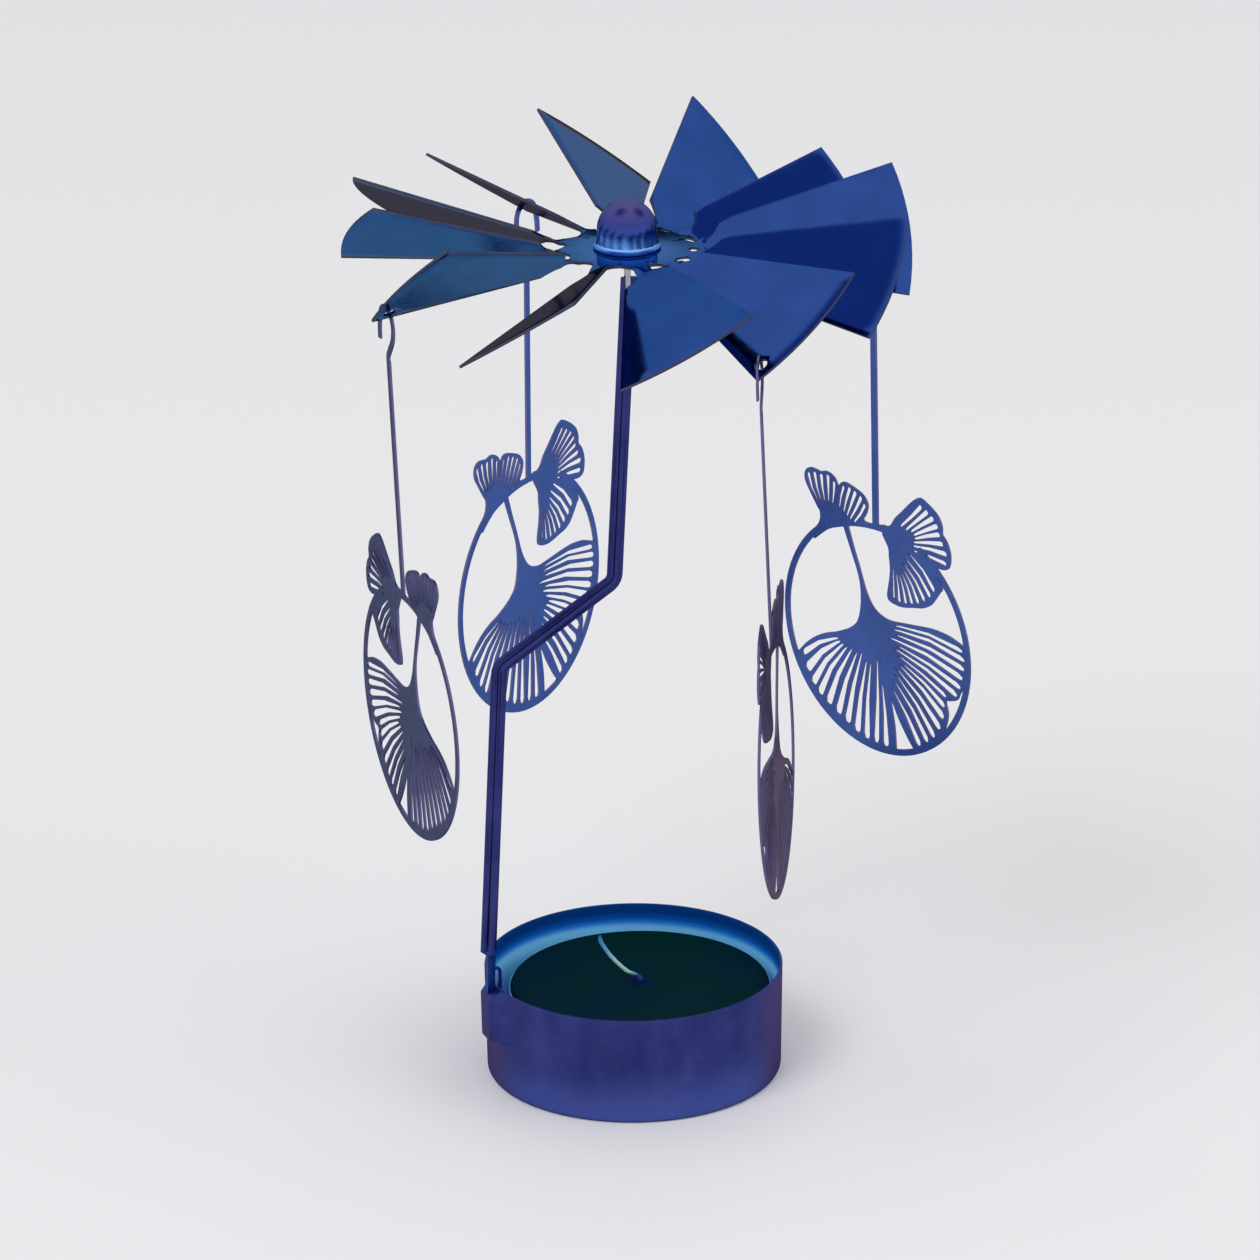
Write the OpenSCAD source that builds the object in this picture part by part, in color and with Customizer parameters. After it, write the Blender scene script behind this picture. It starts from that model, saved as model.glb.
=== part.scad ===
// Candle carousel: a cup with a tealight carries a bent strip, and a needle on the strip's top
// carries a rotor of twelve twisted blades, from which four etched leaf rings hang.
// Millimetres. The origin is the centre of the cup's underside and +Z is up.

/* [Cup] */
// Outer radius of the cup at its rim
cup_radius = 21.5; // [20.5:0.1:24]
// How much smaller the cup's radius is at its foot
cup_draft = 0.25; // [0.1:0.05:0.4]
// Height of the cup
cup_height = 16; // [14:0.1:20]
// Thickness of the cup's sheet
cup_wall = 0.4; // [0.3:0.05:0.6]
// Outer radius of the corner between wall and bottom
cup_corner_radius = 0.7; // [0.7:0.1:3]
// How far the pocket for the stem's tongue stands out of the wall
pocket_reach = 1.75; // [1.6:0.05:2.2]
// Height of the pocket
pocket_height = 8.4; // [6:0.1:10]
// Width of the pocket round the cup
pocket_width = 4.6; // [3.6:0.1:7]

/* [Tealight] */
// Free room round the tealight in the cup
tealight_room = 2.2; // [1.8:0.1:4]
// Thickness of the tealight's metal cup
tealight_wall = 0.2; // [0.1:0.05:0.4]
// Height of the tealight
tealight_height = 12.5; // [9:0.1:14]
// How far to the right of the cup's axis the loose tealight stands
tealight_offset = 0.9; // [0:0.1:1]
// Radius of the rounded edge of the wax
wax_edge_radius = 0.6; // [0.3:0.1:1]
// Diameter of the wick
wick_diameter = 0.9; // [0.7:0.05:1.3]
// How far the wick stands above the wax, measured upwards
wick_height = 7.1; // [5:0.1:9]
// Radius of the small disc that holds the wick
sustainer_radius = 5.5; // [4:0.1:8]
// Thickness of that disc
sustainer_wall = 0.25; // [0.15:0.05:0.4]

/* [Stem] */
// Direction of the stem's plane round the cup, in degrees from the right
stem_azimuth = 203; // [0:1:360]
// Width of the strip, in the stem's plane
strip_width = 2.3; // [1.8:0.1:3]
// Thickness of the strip
strip_thickness = 0.55; // [0.4:0.05:0.8]
// Width of the bead that stiffens the strip
bead_width = 0.6; // [0.4:0.05:0.9]
// Depth of the bead
bead_depth = 0.25; // [0.1:0.05:0.35]
// Height at which the strip narrows to the tongue
shoulder_height = 21.6; // [21:0.1:30]
// Height of the lower bend
lower_bend_height = 64.6; // [55:0.1:70]
// Distance of the lower bend from the axis
lower_bend_reach = 20.1; // [18:0.1:23]
// Height of the upper bend
upper_bend_height = 74.9; // [72:0.1:80]
// Distance of the upper bend from the axis
upper_bend_reach = 2.4; // [1.5:0.1:4]
// Radius of the strip's centre line in the lower bend
lower_bend_radius = 1.6; // [1.2:0.1:4]
// Radius of the strip's centre line in the upper bend
upper_bend_radius = 2; // [1.2:0.1:4]
// Height of the strip's top end
strip_top_height = 119.5; // [116:0.1:121]
// How far the strip's top end has crossed the axis
strip_top_offset = 0.2; // [0:0.05:0.3]

/* [Needle] */
// Radius of the needle
needle_radius = 0.5; // [0.4:0.05:0.6]
// Length of the needle's point
needle_point_length = 2.2; // [1:0.1:4]
// Length of the needle that sits in the strip's top end
needle_seat_length = 6; // [4:0.1:10]

/* [Rotor] */
// Radius of the rotor's disc, measured flat
rotor_radius = 39.6; // [37.5:0.1:43]
// Thickness of the rotor's sheet
rotor_thickness = 0.4; // [0.3:0.05:0.5]
// Height of the hub's mid-plane above the strip's top end
hub_rise = 4.2; // [3:0.1:6]
// Radius of the hole in the middle of the hub
hub_bore_radius = 3.4; // [2:0.1:3.6]
// Width of a blade's neck
neck_width = 2.3; // [1.8:0.1:2.6]
// Radius at which a blade turns on its neck
neck_radius = 10.4; // [9.4:0.1:11]
// Length over which a neck twists
neck_length = 2.4; // [1.6:0.1:3]
// Distance from there to where the slits between the blades close
blade_root_length = 3.2; // [2.6:0.1:5]
// Radius of the holes that the leaf rings hang in
hang_hole_radius = 0.9; // [0.8:0.05:1]
// Distance of those holes' middles from the rotor's rim
hang_hole_margin = 2; // [1.6:0.1:4]
// Outer radius of the dome
dome_radius = 4.2; // [4:0.05:4.6]
// Thickness of the dome's sheet
dome_wall = 0.4; // [0.3:0.05:0.5]
// Height of the dome's straight part above the hub
dome_straight_height = 2.6; // [2:0.1:5]
// Width of the dome's flange
dome_flange_width = 0.5; // [0.4:0.1:1.4]
// Free height between the needle's point and the dome
point_gap = 0.06; // [0.03:0.01:0.1]

/* [Leaf rings] */
// Outer radius of the ring
ring_radius = 18.2; // [16:0.1:19]
// Width of the ring's band
band_width = 0.95; // [0.8:0.05:1.2]
// Thickness of the etched sheet
sheet_thickness = 0.3; // [0.2:0.05:0.35]
// Width of the hanger
hanger_width = 1.1; // [0.8:0.05:1.4]
// Width of the hook's strip
hook_width = 0.9; // [0.7:0.05:1]
// Radius of the hook's centre line
hook_radius = 2.45; // [2.3:0.05:2.6]
// Height of the hook's centre above the ring's centre
hook_height = 56.2; // [50:0.1:60]

/* [Hidden] */

// Overrun of the cuts
over = 0.1;
// Clearance between pieces that touch in one body
seat_gap = 0.02;
// Clearance round the tongue in its pocket and round the rim under the stem
tongue_gap = 0.06;

// Pieces of a quarter circle in an outline
arc_steps = 6;
round_fn = 96;
small_fn = 40;

// Colours of the metal, the wax and the wick
metal_colour = [0.22, 0.29, 0.55];
dark_metal_colour = [0.16, 0.17, 0.33];
rotor_colour = [0.17, 0.27, 0.56];
ring_colour = [0.30, 0.31, 0.52];
wax_colour = [0.01, 0.13, 0.19];
wick_colour = [0.55, 0.75, 0.80];

// Points on an arc round a centre, from one direction to another
function arc(centre, radius, from, to, steps = arc_steps) =
    [for (i = [0:steps]) centre + radius * [cos(from + (to - from) * i / steps),
        sin(from + (to - from) * i / steps)]];

// A path of straight runs with a round corner at each inner point
function unit(v) = v / norm(v);
function corner_arc(a, b, c, radius) =
    let (
        inward = unit(a - b),
        outward = unit(c - b),
        turn = acos(inward * outward),
        reach = radius / tan(turn / 2),
        middle = b + unit(inward + outward) * radius / sin(turn / 2),
        first = b + inward * reach - middle,
        side = sign(inward[1] * outward[0] - inward[0] * outward[1]),
        start = atan2(first[1], first[0]),
        sweep = side * (180 - turn)
    )
    arc(middle, radius, start, start + sweep);
function rounded_path(points, radii) = [
    points[0],
    for (i = [1:len(points) - 2])
        each corner_arc(points[i - 1], points[i], points[i + 1], radii[i - 1]),
    points[len(points) - 1]
];

// The side direction at a point of a path, square to the path
function side_of(path, i) =
    let (
        a = path[max(i - 1, 0)],
        b = path[min(i + 1, len(path) - 1)],
        along = unit(b - a)
    )
    [-along[1], along[0]];

// A strip of even width along a path
function strip_outline(path, width) = concat(
    [for (i = [0:len(path) - 1]) path[i] + side_of(path, i) * width / 2],
    [for (i = [len(path) - 1:-1:0]) path[i] - side_of(path, i) * width / 2]
);

// A smooth curve through chosen points
function between(a, b, c, d, t) =
    (2 * b + (c - a) * t + (2 * a - 5 * b + 4 * c - d) * t * t
        + (3 * b - a - 3 * c + d) * t * t * t) / 2;
function smooth_open(points, steps) =
    let (last = len(points) - 1)
    [
        for (i = [0:last - 1], s = [0:steps - 1])
            between(points[max(i - 1, 0)], points[i], points[i + 1],
                points[min(i + 2, last)], s / steps),
        points[last]
    ];

// Cup

cup_inner_radius = cup_radius - cup_wall;
cup_foot_radius = cup_radius - cup_draft;
pocket_top_height = cup_height;
pocket_bottom_height = cup_height - pocket_height;
pocket_outer_radius = cup_radius + pocket_reach;
// Height of the pocket's slanting ends
pocket_slant = pocket_reach / 2;
// Angles that the pocket's width and its side walls take round the cup
pocket_angle = 2 * asin(pocket_width / 2 / pocket_outer_radius);
pocket_side_angle = 2 * asin(cup_wall / 2 / pocket_outer_radius);
// The solid rim that is left above the window behind the pocket
rim_height = cup_wall * 1.5;

function wall_radius(z) = cup_foot_radius + cup_draft * z / cup_height;

module cup_shell() {
    rotate_extrude($fn = round_fn)
        polygon(concat(
            [[0, 0]],
            arc([cup_foot_radius - cup_corner_radius, cup_corner_radius], cup_corner_radius, -90, 0),
            [[cup_radius, cup_height], [cup_inner_radius, cup_height]],
            arc([cup_foot_radius - cup_corner_radius, cup_corner_radius],
                cup_corner_radius - cup_wall, 0, -90),
            [[0, cup_wall]]
        ));
}

// A wedge of the pocket: its profile turned through an angle about the cup's axis
module pocket_wedge(angle, inset, inner_radius, top_height, bottom_height) {
    rotate([0, 0, stem_azimuth - angle / 2])
        rotate_extrude(angle = angle, $fn = round_fn)
            polygon([
                [inner_radius, bottom_height + inset],
                [wall_radius(bottom_height), bottom_height + inset],
                [pocket_outer_radius - inset, bottom_height + pocket_slant + inset / 2],
                [pocket_outer_radius - inset, top_height - pocket_slant - inset / 2],
                [wall_radius(top_height), top_height - inset],
                [inner_radius, top_height - inset]
            ]);
}

module candle_cup() {
    color(metal_colour) difference() {
        union() {
            cup_shell();
            pocket_wedge(pocket_angle, 0, cup_inner_radius + cup_wall / 2,
                pocket_top_height - seat_gap, pocket_bottom_height);
        }
        // The window and the hollow of the pocket
        pocket_wedge(pocket_angle - 2 * pocket_side_angle, cup_wall,
            cup_inner_radius - cup_wall, pocket_top_height - rim_height + cup_wall,
            pocket_bottom_height);
        // The slit in the pocket's top that the tongue goes through
        rotate([0, 0, stem_azimuth])
            translate([cup_radius + tongue_gap / 2, -strip_thickness / 2 - tongue_gap,
                pocket_top_height - pocket_slant * 2])
                cube([pocket_reach - cup_wall - tongue_gap / 2, strip_thickness + 2 * tongue_gap,
                    pocket_slant * 2 + over]);
    }
}

// Stem

tongue_outer_radius = pocket_outer_radius - cup_wall - tongue_gap;
tongue_inner_radius = cup_radius + 2 * tongue_gap;
tongue_bottom_height = pocket_bottom_height + pocket_height / 4;
tongue_top_inner_radius = cup_radius;
tongue_top_outer_radius = tongue_top_inner_radius + strip_width / 2;
// The tab that curls over the rim
tab_width = cup_wall * 1.1;
tab_reach = cup_inner_radius - tongue_gap - tab_width / 2;
tab_top_height = cup_height + (shoulder_height - cup_height) * 0.5;
tab_bottom_height = cup_height - cup_wall * 5;
tab_radius = (tongue_inner_radius - tab_reach) / 2 + tab_width / 2;
// The foot of the strip, in line with the tongue
foot_reach = tongue_top_inner_radius + strip_width * 0.42;

stem_path = rounded_path(
    [
        [foot_reach, shoulder_height],
        [lower_bend_reach, lower_bend_height],
        [upper_bend_reach, upper_bend_height],
        [-strip_top_offset, strip_top_height]
    ],
    [lower_bend_radius, upper_bend_radius]
);
tab_path = rounded_path(
    [
        [tab_reach, tab_bottom_height],
        [tab_reach, tab_top_height],
        [tongue_inner_radius + tab_width, tab_top_height]
    ],
    [tab_radius]
);
strip_bottom = shoulder_height - strip_width / 3;

module stem_outline() {
    polygon(strip_outline(stem_path, strip_width));
    // The tongue, with a slanting shoulder at its top
    polygon([
        [tongue_inner_radius, tongue_bottom_height + strip_width / 4],
        [tongue_inner_radius, cup_height + tongue_gap],
        [tongue_top_inner_radius, strip_bottom],
        [tongue_top_inner_radius, shoulder_height + strip_width],
        [foot_reach, shoulder_height + strip_width],
        [foot_reach + strip_width / 2, shoulder_height + over],
        [tongue_top_outer_radius, strip_bottom],
        [tongue_outer_radius, cup_height + tongue_gap],
        [tongue_outer_radius, tongue_bottom_height],
    ]);
    polygon(strip_outline(tab_path, tab_width));
}

module stem() {
    color(dark_metal_colour) rotate([0, 0, stem_azimuth]) rotate([90, 0, 0]) difference() {
        union() {
            linear_extrude(strip_thickness, center = true)
                stem_outline();
            // The bead stands out at the strip's back
            translate([0, 0, strip_thickness / 2 - over])
                linear_extrude(bead_depth + over)
                    polygon(strip_outline(stem_path, bead_width));
        }
        // and is a groove in its front
        translate([0, 0, -strip_thickness / 2 - over])
            linear_extrude(bead_depth + over)
                polygon(strip_outline(stem_path, bead_width));
        // The seat of the needle
        translate([0, strip_top_height - needle_seat_length, 0])
            rotate([-90, 0, 0])
                cylinder(r = needle_radius + seat_gap, h = needle_seat_length + strip_width,
                    $fn = small_fn);
    }
}

// Needle

hub_height = strip_top_height + hub_rise;
dome_top_height = hub_height + rotor_thickness / 2 + dome_straight_height + dome_radius;
needle_tip_height = dome_top_height - dome_wall - point_gap;
needle_bottom_height = strip_top_height - needle_seat_length + seat_gap;
needle_tip_radius = needle_radius / 8;

module pivot_needle() {
    color("silver")
        rotate_extrude($fn = small_fn)
            polygon([
                [0, needle_bottom_height],
                [needle_radius, needle_bottom_height],
                [needle_radius, needle_tip_height - needle_point_length],
                [needle_tip_radius, needle_tip_height - needle_tip_radius],
                [0, needle_tip_height]
            ]);
}

// Rotor

blade_count = 12;
blade_step = 360 / blade_count;
// Direction of the first blade
first_blade_azimuth = 98;
// How far each blade is twisted on its neck, bent up and turned sideways, in degrees,
// clockwise from the first blade: they are bent by hand and differ
blade_twists = [37, 53, 42, 47, 39, 36, 28, 33, 41, 36, 30, 34];
blade_lifts = [7, 6, -2, 3, 0, -4, -6, -2, 5, 10, 9, 0];
blade_turns = [-1, -2, -4, -3, 1, 1, 4, -1, 1, 3, 3, -4];
// The blades that carry leaf rings: front, right, back and left
hang_blades = [5, 2, 11, 8];
// Direction of the hanging hole from its blade's centre line
hang_hole_angle = -12;

// Width of a cut between two blades
cut_width = rotor_thickness / 10;
blade_half_angle = blade_step / 2 - asin(cut_width / 2 / rotor_radius);
// Radii over which a neck twists, between the flat hub and the blade
twist_start_radius = neck_radius - neck_length / 2;
twist_end_radius = neck_radius + neck_length / 2;
neck_end_radius = twist_end_radius + rotor_thickness;
hub_radius = twist_start_radius - rotor_thickness / 2;
slit_end_radius = neck_radius + blade_root_length;
// Necks are thinner than the sheet by this share, to sit inside hub and blade
neck_thickness_share = 0.94;
// Half widths of a blade at the radii between its neck and the closed slits, as shares
root_shares = [[0, 0], [0.25, 0.12], [0.5, 0.34], [0.75, 0.65]];
hub_rib_radius = hub_radius - rotor_thickness * 1.2;

function blade_azimuth(k) = first_blade_azimuth - blade_step * k + blade_turns[k];
function about_x(p, a) = [p[0], p[1] * cos(a) - p[2] * sin(a), p[1] * sin(a) + p[2] * cos(a)];
function about_y(p, a) = [p[0] * cos(a) + p[2] * sin(a), p[1], p[2] * cos(a) - p[0] * sin(a)];
function about_z(p, a) = [p[0] * cos(a) - p[1] * sin(a), p[0] * sin(a) + p[1] * cos(a), p[2]];
// From a point of a flat blade, measured from its turning point, to its place on the rotor
function on_blade(p, k) = [0, 0, hub_height] + about_z(
    [neck_radius, 0, 0] + about_y(about_x(p, blade_twists[k]), -blade_lifts[k]),
    blade_azimuth(k));

hang_hole_reach = rotor_radius - hang_hole_margin;
hang_hole_flat = [hang_hole_reach * cos(hang_hole_angle) - neck_radius,
    hang_hole_reach * sin(hang_hole_angle), 0];

module put_on_blade(k) {
    rotate([0, 0, blade_azimuth(k)])
        translate([neck_radius, 0, hub_height])
            rotate([0, -blade_lifts[k], 0])
                rotate([blade_twists[k], 0, 0])
                    children();
}

slit_end_half_width = slit_end_radius * sin(blade_half_angle);
function root_half_width(share) =
    neck_width / 2 + (slit_end_half_width - neck_width / 2) * share;

module blade_outline() {
    root = [for (s = root_shares)
        [twist_end_radius + (slit_end_radius * cos(blade_half_angle) - twist_end_radius) * s[0],
            root_half_width(s[1])]];
    translate([-neck_radius, 0])
        polygon(concat(
            [for (p = root) [p[0], -p[1]]],
            [slit_end_radius * [cos(blade_half_angle), -sin(blade_half_angle)]],
            arc([0, 0], rotor_radius, -blade_half_angle, blade_half_angle),
            [slit_end_radius * [cos(blade_half_angle), sin(blade_half_angle)]],
            [for (i = [len(root) - 1:-1:0]) root[i]]
        ));
}

// A neck: cross-sections that turn from the hub's plane to the blade's
neck_steps = 6;
function ease(t) = t * t * (3 - 2 * t);
function neck_section(k, share) =
    let (
        radius = hub_rib_radius + (neck_end_radius - hub_rib_radius) * share,
        turned = ease(min(max((radius - twist_start_radius)
            / (twist_end_radius - twist_start_radius), 0), 1)),
        lift = radius > neck_radius ? blade_lifts[k] : 0,
        half_width = neck_width / 2,
        half_thickness = rotor_thickness / 2 * neck_thickness_share
    )
    [for (c = [[-1, -1], [1, -1], [1, 1], [-1, 1]])
        [0, 0, hub_height] + about_z([neck_radius, 0, 0] + about_y(
            about_x([radius - neck_radius, c[0] * half_width, c[1] * half_thickness],
                blade_twists[k] * turned), -lift), blade_azimuth(k))];

module neck(k) {
    sections = [for (i = [0:neck_steps]) each neck_section(k, i / neck_steps)];
    last = 4 * neck_steps;
    polyhedron(
        points = sections,
        faces = concat(
            [[0, 1, 2], [0, 2, 3]],
            [for (i = [0:neck_steps - 1], j = [0:3])
                [4 * i + j, 4 * i + 4 + j, 4 * i + 4 + (j + 1) % 4]],
            [for (i = [0:neck_steps - 1], j = [0:3])
                [4 * i + j, 4 * i + 4 + (j + 1) % 4, 4 * i + (j + 1) % 4]],
            [[last, last + 2, last + 1], [last, last + 3, last + 2]]
        ));
}

module rotor_fan() {
    color(rotor_colour) difference() {
        union() {
            translate([0, 0, hub_height - rotor_thickness / 2])
                cylinder(r = hub_radius, h = rotor_thickness, $fn = round_fn);
            for (k = [0:blade_count - 1]) {
                put_on_blade(k)
                    translate([0, 0, -rotor_thickness / 2])
                        linear_extrude(rotor_thickness)
                            blade_outline();
                neck(k);
            }
        }
        translate([0, 0, hub_height - rotor_thickness])
            cylinder(r = hub_bore_radius, h = 2 * rotor_thickness, $fn = small_fn);
        for (k = hang_blades)
            put_on_blade(k)
                translate(hang_hole_flat - [0, 0, rotor_thickness])
                    cylinder(r = hang_hole_radius, h = 2 * rotor_thickness, $fn = small_fn);
    }
}

module dome_cap() {
    base = hub_height + rotor_thickness / 2;
    spring = base + dome_straight_height;
    inner_radius = dome_radius - dome_wall;
    flange_radius = dome_radius + dome_flange_width;
    color(rotor_colour)
        rotate_extrude($fn = round_fn)
            polygon(concat(
                [[inner_radius, base], [flange_radius, base],
                    [flange_radius, base + dome_wall], [dome_radius, base + dome_wall]],
                arc([0, spring], dome_radius, 0, 90, 2 * arc_steps),
                arc([0, spring], inner_radius, 90, 0, 2 * arc_steps)
            ));
}

// Leaf rings

// The sheet's own plane: the origin is the ring's centre and the hanger points up.
// Steps of the artwork's grid in the ring's outer radius: the tables of shares below are
// points on that grid.
grid_steps_share = 18.2;
grid = ring_radius / grid_steps_share;
// Where the hanger starts inside the bar, and the width of a slot's inner end
hanger_bottom_share = 16.9;
slot_inner_share = 0.3;

// Small leaf left of the hanger, with the bar that joins it to the medium leaf
small_leaf_shares = [
    [-13.1, 12.6], [-11.9, 13.7], [-11, 15], [-10.9, 16.4], [-11.5, 17.2], [-12.9, 19.2],
    [-13.8, 20.7], [-13.7, 22.1], [-12.8, 22.8], [-11.6, 22.8], [-10.7, 22.7], [-9.8, 23],
    [-8.8, 22.9], [-7.8, 22.3], [-7.2, 21.4], [-6.6, 22.1], [-5.7, 22.3], [-4.3, 22],
    [-2.8, 21.5], [-1.8, 20.7], [-1.4, 19.7], [-1.8, 18.4], [-2.3, 17.3], [0, 17.3], [2, 17.7],
    [2.2, 16.6], [0, 16.5], [-2.2, 16.3], [-4.4, 15.9], [-6.9, 15.1], [-8.9, 14.3],
    [-10.5, 13.2], [-12, 11.9]
];
// Its slots: inner end, outer end, sideways bow and outer width
small_slot_shares = [
    [-11.2, 17.9, -13.1, 21.8, 0.35, 0.75],
    [-10.6, 18, -11.9, 22.2, 0.25, 0.8],
    [-9.9, 18.1, -10.6, 22.2, 0.15, 0.85],
    [-9.2, 18.2, -9.3, 22.4, 0, 0.8],
    [-8.5, 18.2, -8.1, 21.7, -0.1, 0.7],
    [-7.1, 17.9, -6.2, 21.5, 0.15, 0.6],
    [-6.3, 17.4, -5, 21.6, 0.1, 0.75],
    [-5.7, 17, -3.9, 21.3, 0, 0.8],
    [-5.1, 16.7, -2.8, 20.8, -0.1, 0.75],
    [-4.3, 16.5, -2.1, 19.8, -0.2, 0.65]
];
// Medium leaf right of the hanger
medium_leaf_shares = [
    [1.2, 17.3], [2.9, 18], [3.8, 19.35], [5.1, 20.65], [6.4, 22.05], [7.7, 23.25],
    [8.8, 23.75], [10.1, 23.25], [11.6, 22.35], [12.5, 21.45], [13, 20.25], [13, 19.25],
    [13.9, 18.25], [14.5, 16.75], [14.5, 15.25], [14.1, 14.25], [13, 13.85], [11.6, 13.95],
    [10.3, 14.25], [11.4, 13.05], [12.9, 10.95], [12.4, 10.05], [11.6, 8.85], [10.6, 7.65],
    [9.2, 6.85], [7.5, 6.45], [6, 6.05], [4.5, 5.85], [2.7, 6.15], [2.2, 6.95], [2.4, 8.35],
    [2.7, 9.95], [2.8, 11.55], [2.6, 13.15], [2.5, 14.4], [1.4, 16.1]
];
medium_slot_shares = [
    [4.8, 18.3, 8.9, 22.5, -0.1, 0.75],
    [5.8, 18, 10.1, 22, 0, 0.8],
    [6.8, 18, 11.2, 21.3, 0.05, 0.8],
    [7.3, 17.6, 12, 20.3, 0.05, 0.8],
    [7.5, 17.1, 12.4, 19.1, 0.1, 0.8],
    [7.3, 16.5, 13, 17.8, 0.1, 0.85],
    [7.2, 15.9, 13.7, 16.4, 0.2, 0.9],
    [7.3, 15.2, 13.6, 14.9, 0.15, 0.75],
    [3.35, 11.7, 3.45, 6.9, 0, 0.5],
    [3.9, 11, 4.5, 6.6, 0.1, 0.7],
    [4.4, 11, 5.7, 6.7, 0.2, 0.75],
    [4.9, 11.3, 6.9, 7, 0.25, 0.8],
    [5.3, 11.9, 8.1, 7.4, 0.3, 0.85],
    [5.3, 12.8, 9.3, 8.1, 0.4, 0.9],
    [5.6, 13.7, 10.4, 9, 0.45, 0.95],
    [6.3, 14.6, 11.2, 10.1, 0.5, 0.95]
];
// Large leaf inside the ring: its stalk and upper left edge, its cleft, its lower right
// edge, and its upper right edge back to the stalk
large_left_shares = [
    [-6.6, 16.1], [-5.2, 12.8], [-3.9, 9.8], [-3.2, 7.6], [-3, 5.4], [-3.2, 3], [-3.8, 1.2],
    [-5, 0], [-6.5, -0.9], [-8.3, -1.75], [-10.3, -2.5], [-12.3, -3.6], [-14, -5],
    [-15.2, -6.3], [-16.1, -7.3]
];
large_cleft_shares = [
    [3.6, -16.7], [3.4, -13.5], [2.7, -9.3], [4.2, -11.9], [6, -14.5], [7.2, -15.9]
];
large_right_shares = [
    [12.6, -12.3], [13.5, -10.3], [13.9, -8.3], [13.5, -6.5], [14.5, -6.1], [15.7, -5.6],
    [16.3, -4.4], [17, -3.4]
];
large_top_shares = [
    [17.2, 3], [14.6, 3.8], [13.3, 4], [11.2, 4.1], [9, 3.9], [6.8, 3.6], [4.6, 3.3],
    [2.5, 3.1], [0.7, 3.5], [-0.6, 4.3], [-1.6, 5.7], [-2.3, 7.2], [-3.3, 10], [-4.3, 12.5],
    [-5.6, 16.2]
];
large_slot_shares = [
    [-7.6, -2.55, -14.4, -6.75, -0.55, 0.95],
    [-7.2, -2.9, -13.7, -9, -0.6, 1.5],
    [-6.6, -3.2, -12.6, -10.9, -0.6, 1.35],
    [-5.9, -3.5, -11.3, -12.2, -0.6, 1.3],
    [-4.9, -3.5, -9.6, -13.2, -0.5, 1.4],
    [-3.9, -3.7, -7.7, -14.2, -0.4, 1.4],
    [-2.9, -3.3, -5.9, -15.1, -0.3, 1.35],
    [-2, -4.3, -4, -16, -0.3, 1.4],
    [-1.2, -4.4, -2.1, -16.5, -0.3, 1.3],
    [0, -3.3, -0.3, -16.6, 0.2, 1.15],
    [0.9, -7, 1.6, -16.6, 0.2, 1.25],
    [2.9, -7.4, 8, -14.6, 0.3, 1.15],
    [3.1, -6, 9.5, -13.6, 0.5, 1.15],
    [3.5, -5, 10.8, -12.5, 0.5, 1.2],
    [3.6, -4, 11.9, -10.9, 0.5, 1.3],
    [4.2, -3.4, 12.6, -9, 0.5, 1.35],
    [4.9, -3, 12.8, -7.2, 0.4, 1.1],
    [4.2, -2, 13.1, -5.6, 0.3, 0.85],
    [3.4, -1.1, 15.2, -4.9, 0.5, 1.1],
    [4, -0.5, 15.9, -3.5, 0.4, 1.05],
    [2.4, 0.3, 16.3, -2, 0.7, 1.1],
    [3.8, 1.1, 16.6, -0.5, 0.6, 1.05],
    [3.3, 1.8, 16.7, 0.9, 0.8, 0.95],
    [3.6, 2.5, 16.3, 2.2, 0.7, 0.85]
];
// Directions between which the ring makes way for the bar and the leaves beside it
ring_gap_from = 62;
ring_gap_to = 124;

// The hook, in shares of its radius from its centre, from the hanger to its free end
hook_shares = [
    [0, -2.4], [0, -1.85], [-0.4, -1.35], [-0.86, -0.75], [-1.02, -0.05], [-0.75, 0.66],
    [0, 0.98], [0.72, 0.68], [1.02, 0], [1.13, -0.55], [1.16, -1.08]
];

smooth_steps = 3;
// Outline of a slot: places along it, and its half width there as a share
slot_shares = [[0, 0.5], [0.08, 1], [0.5, 1], [0.94, 1], [1, 0.55]];
// How far slots run beyond their tables' outer ends: in the large leaf up to the ring
large_slot_reach_share = 0.4;
slot_reach_share = 0.12;
function slot_point(s, along, half, reach_share) =
    let (
        from = [s[0], s[1]] * grid,
        end = [s[2], s[3]] * grid,
        to = end + unit(end - from) * reach_share * grid,
        side = unit([from[1] - to[1], to[0] - from[0]]),
        width = (slot_inner_share + (s[5] - slot_inner_share) * along) * grid
    )
    from + (to - from) * along
        + side * (s[4] * grid * 4 * along * (1 - along) + half * width / 2);
function slot_outline(s, reach_share) = concat(
    [for (p = slot_shares) slot_point(s, p[0], p[1], reach_share)],
    [for (i = [len(slot_shares) - 1:-1:0])
        slot_point(s, slot_shares[i][0], -slot_shares[i][1], reach_share)]
);
slot_points = 2 * len(slot_shares);

// A leaf: one outline with its slots as holes
module leaf(outline, slots, reach_share = slot_reach_share) {
    edge = len(outline);
    polygon(
        points = concat(outline, [for (s = slots) each slot_outline(s, reach_share)]),
        paths = concat(
            [[for (i = [0:edge - 1]) i]],
            [for (j = [0:len(slots) - 1])
                [for (i = [0:slot_points - 1]) edge + j * slot_points + i]]
        ));
}

function on_grid(shares) = smooth_open([for (p = shares) p * grid], smooth_steps);
// The middle of the ring's band, where the large leaf runs into it
ring_middle_radius = ring_radius - band_width / 2;
function direction(p) = atan2(p[1], p[0]);
function band_arc(from, to, steps) = arc([0, 0], ring_middle_radius,
    direction(from), direction(to) < direction(from) ? direction(to) + 360 : direction(to), steps);

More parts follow.
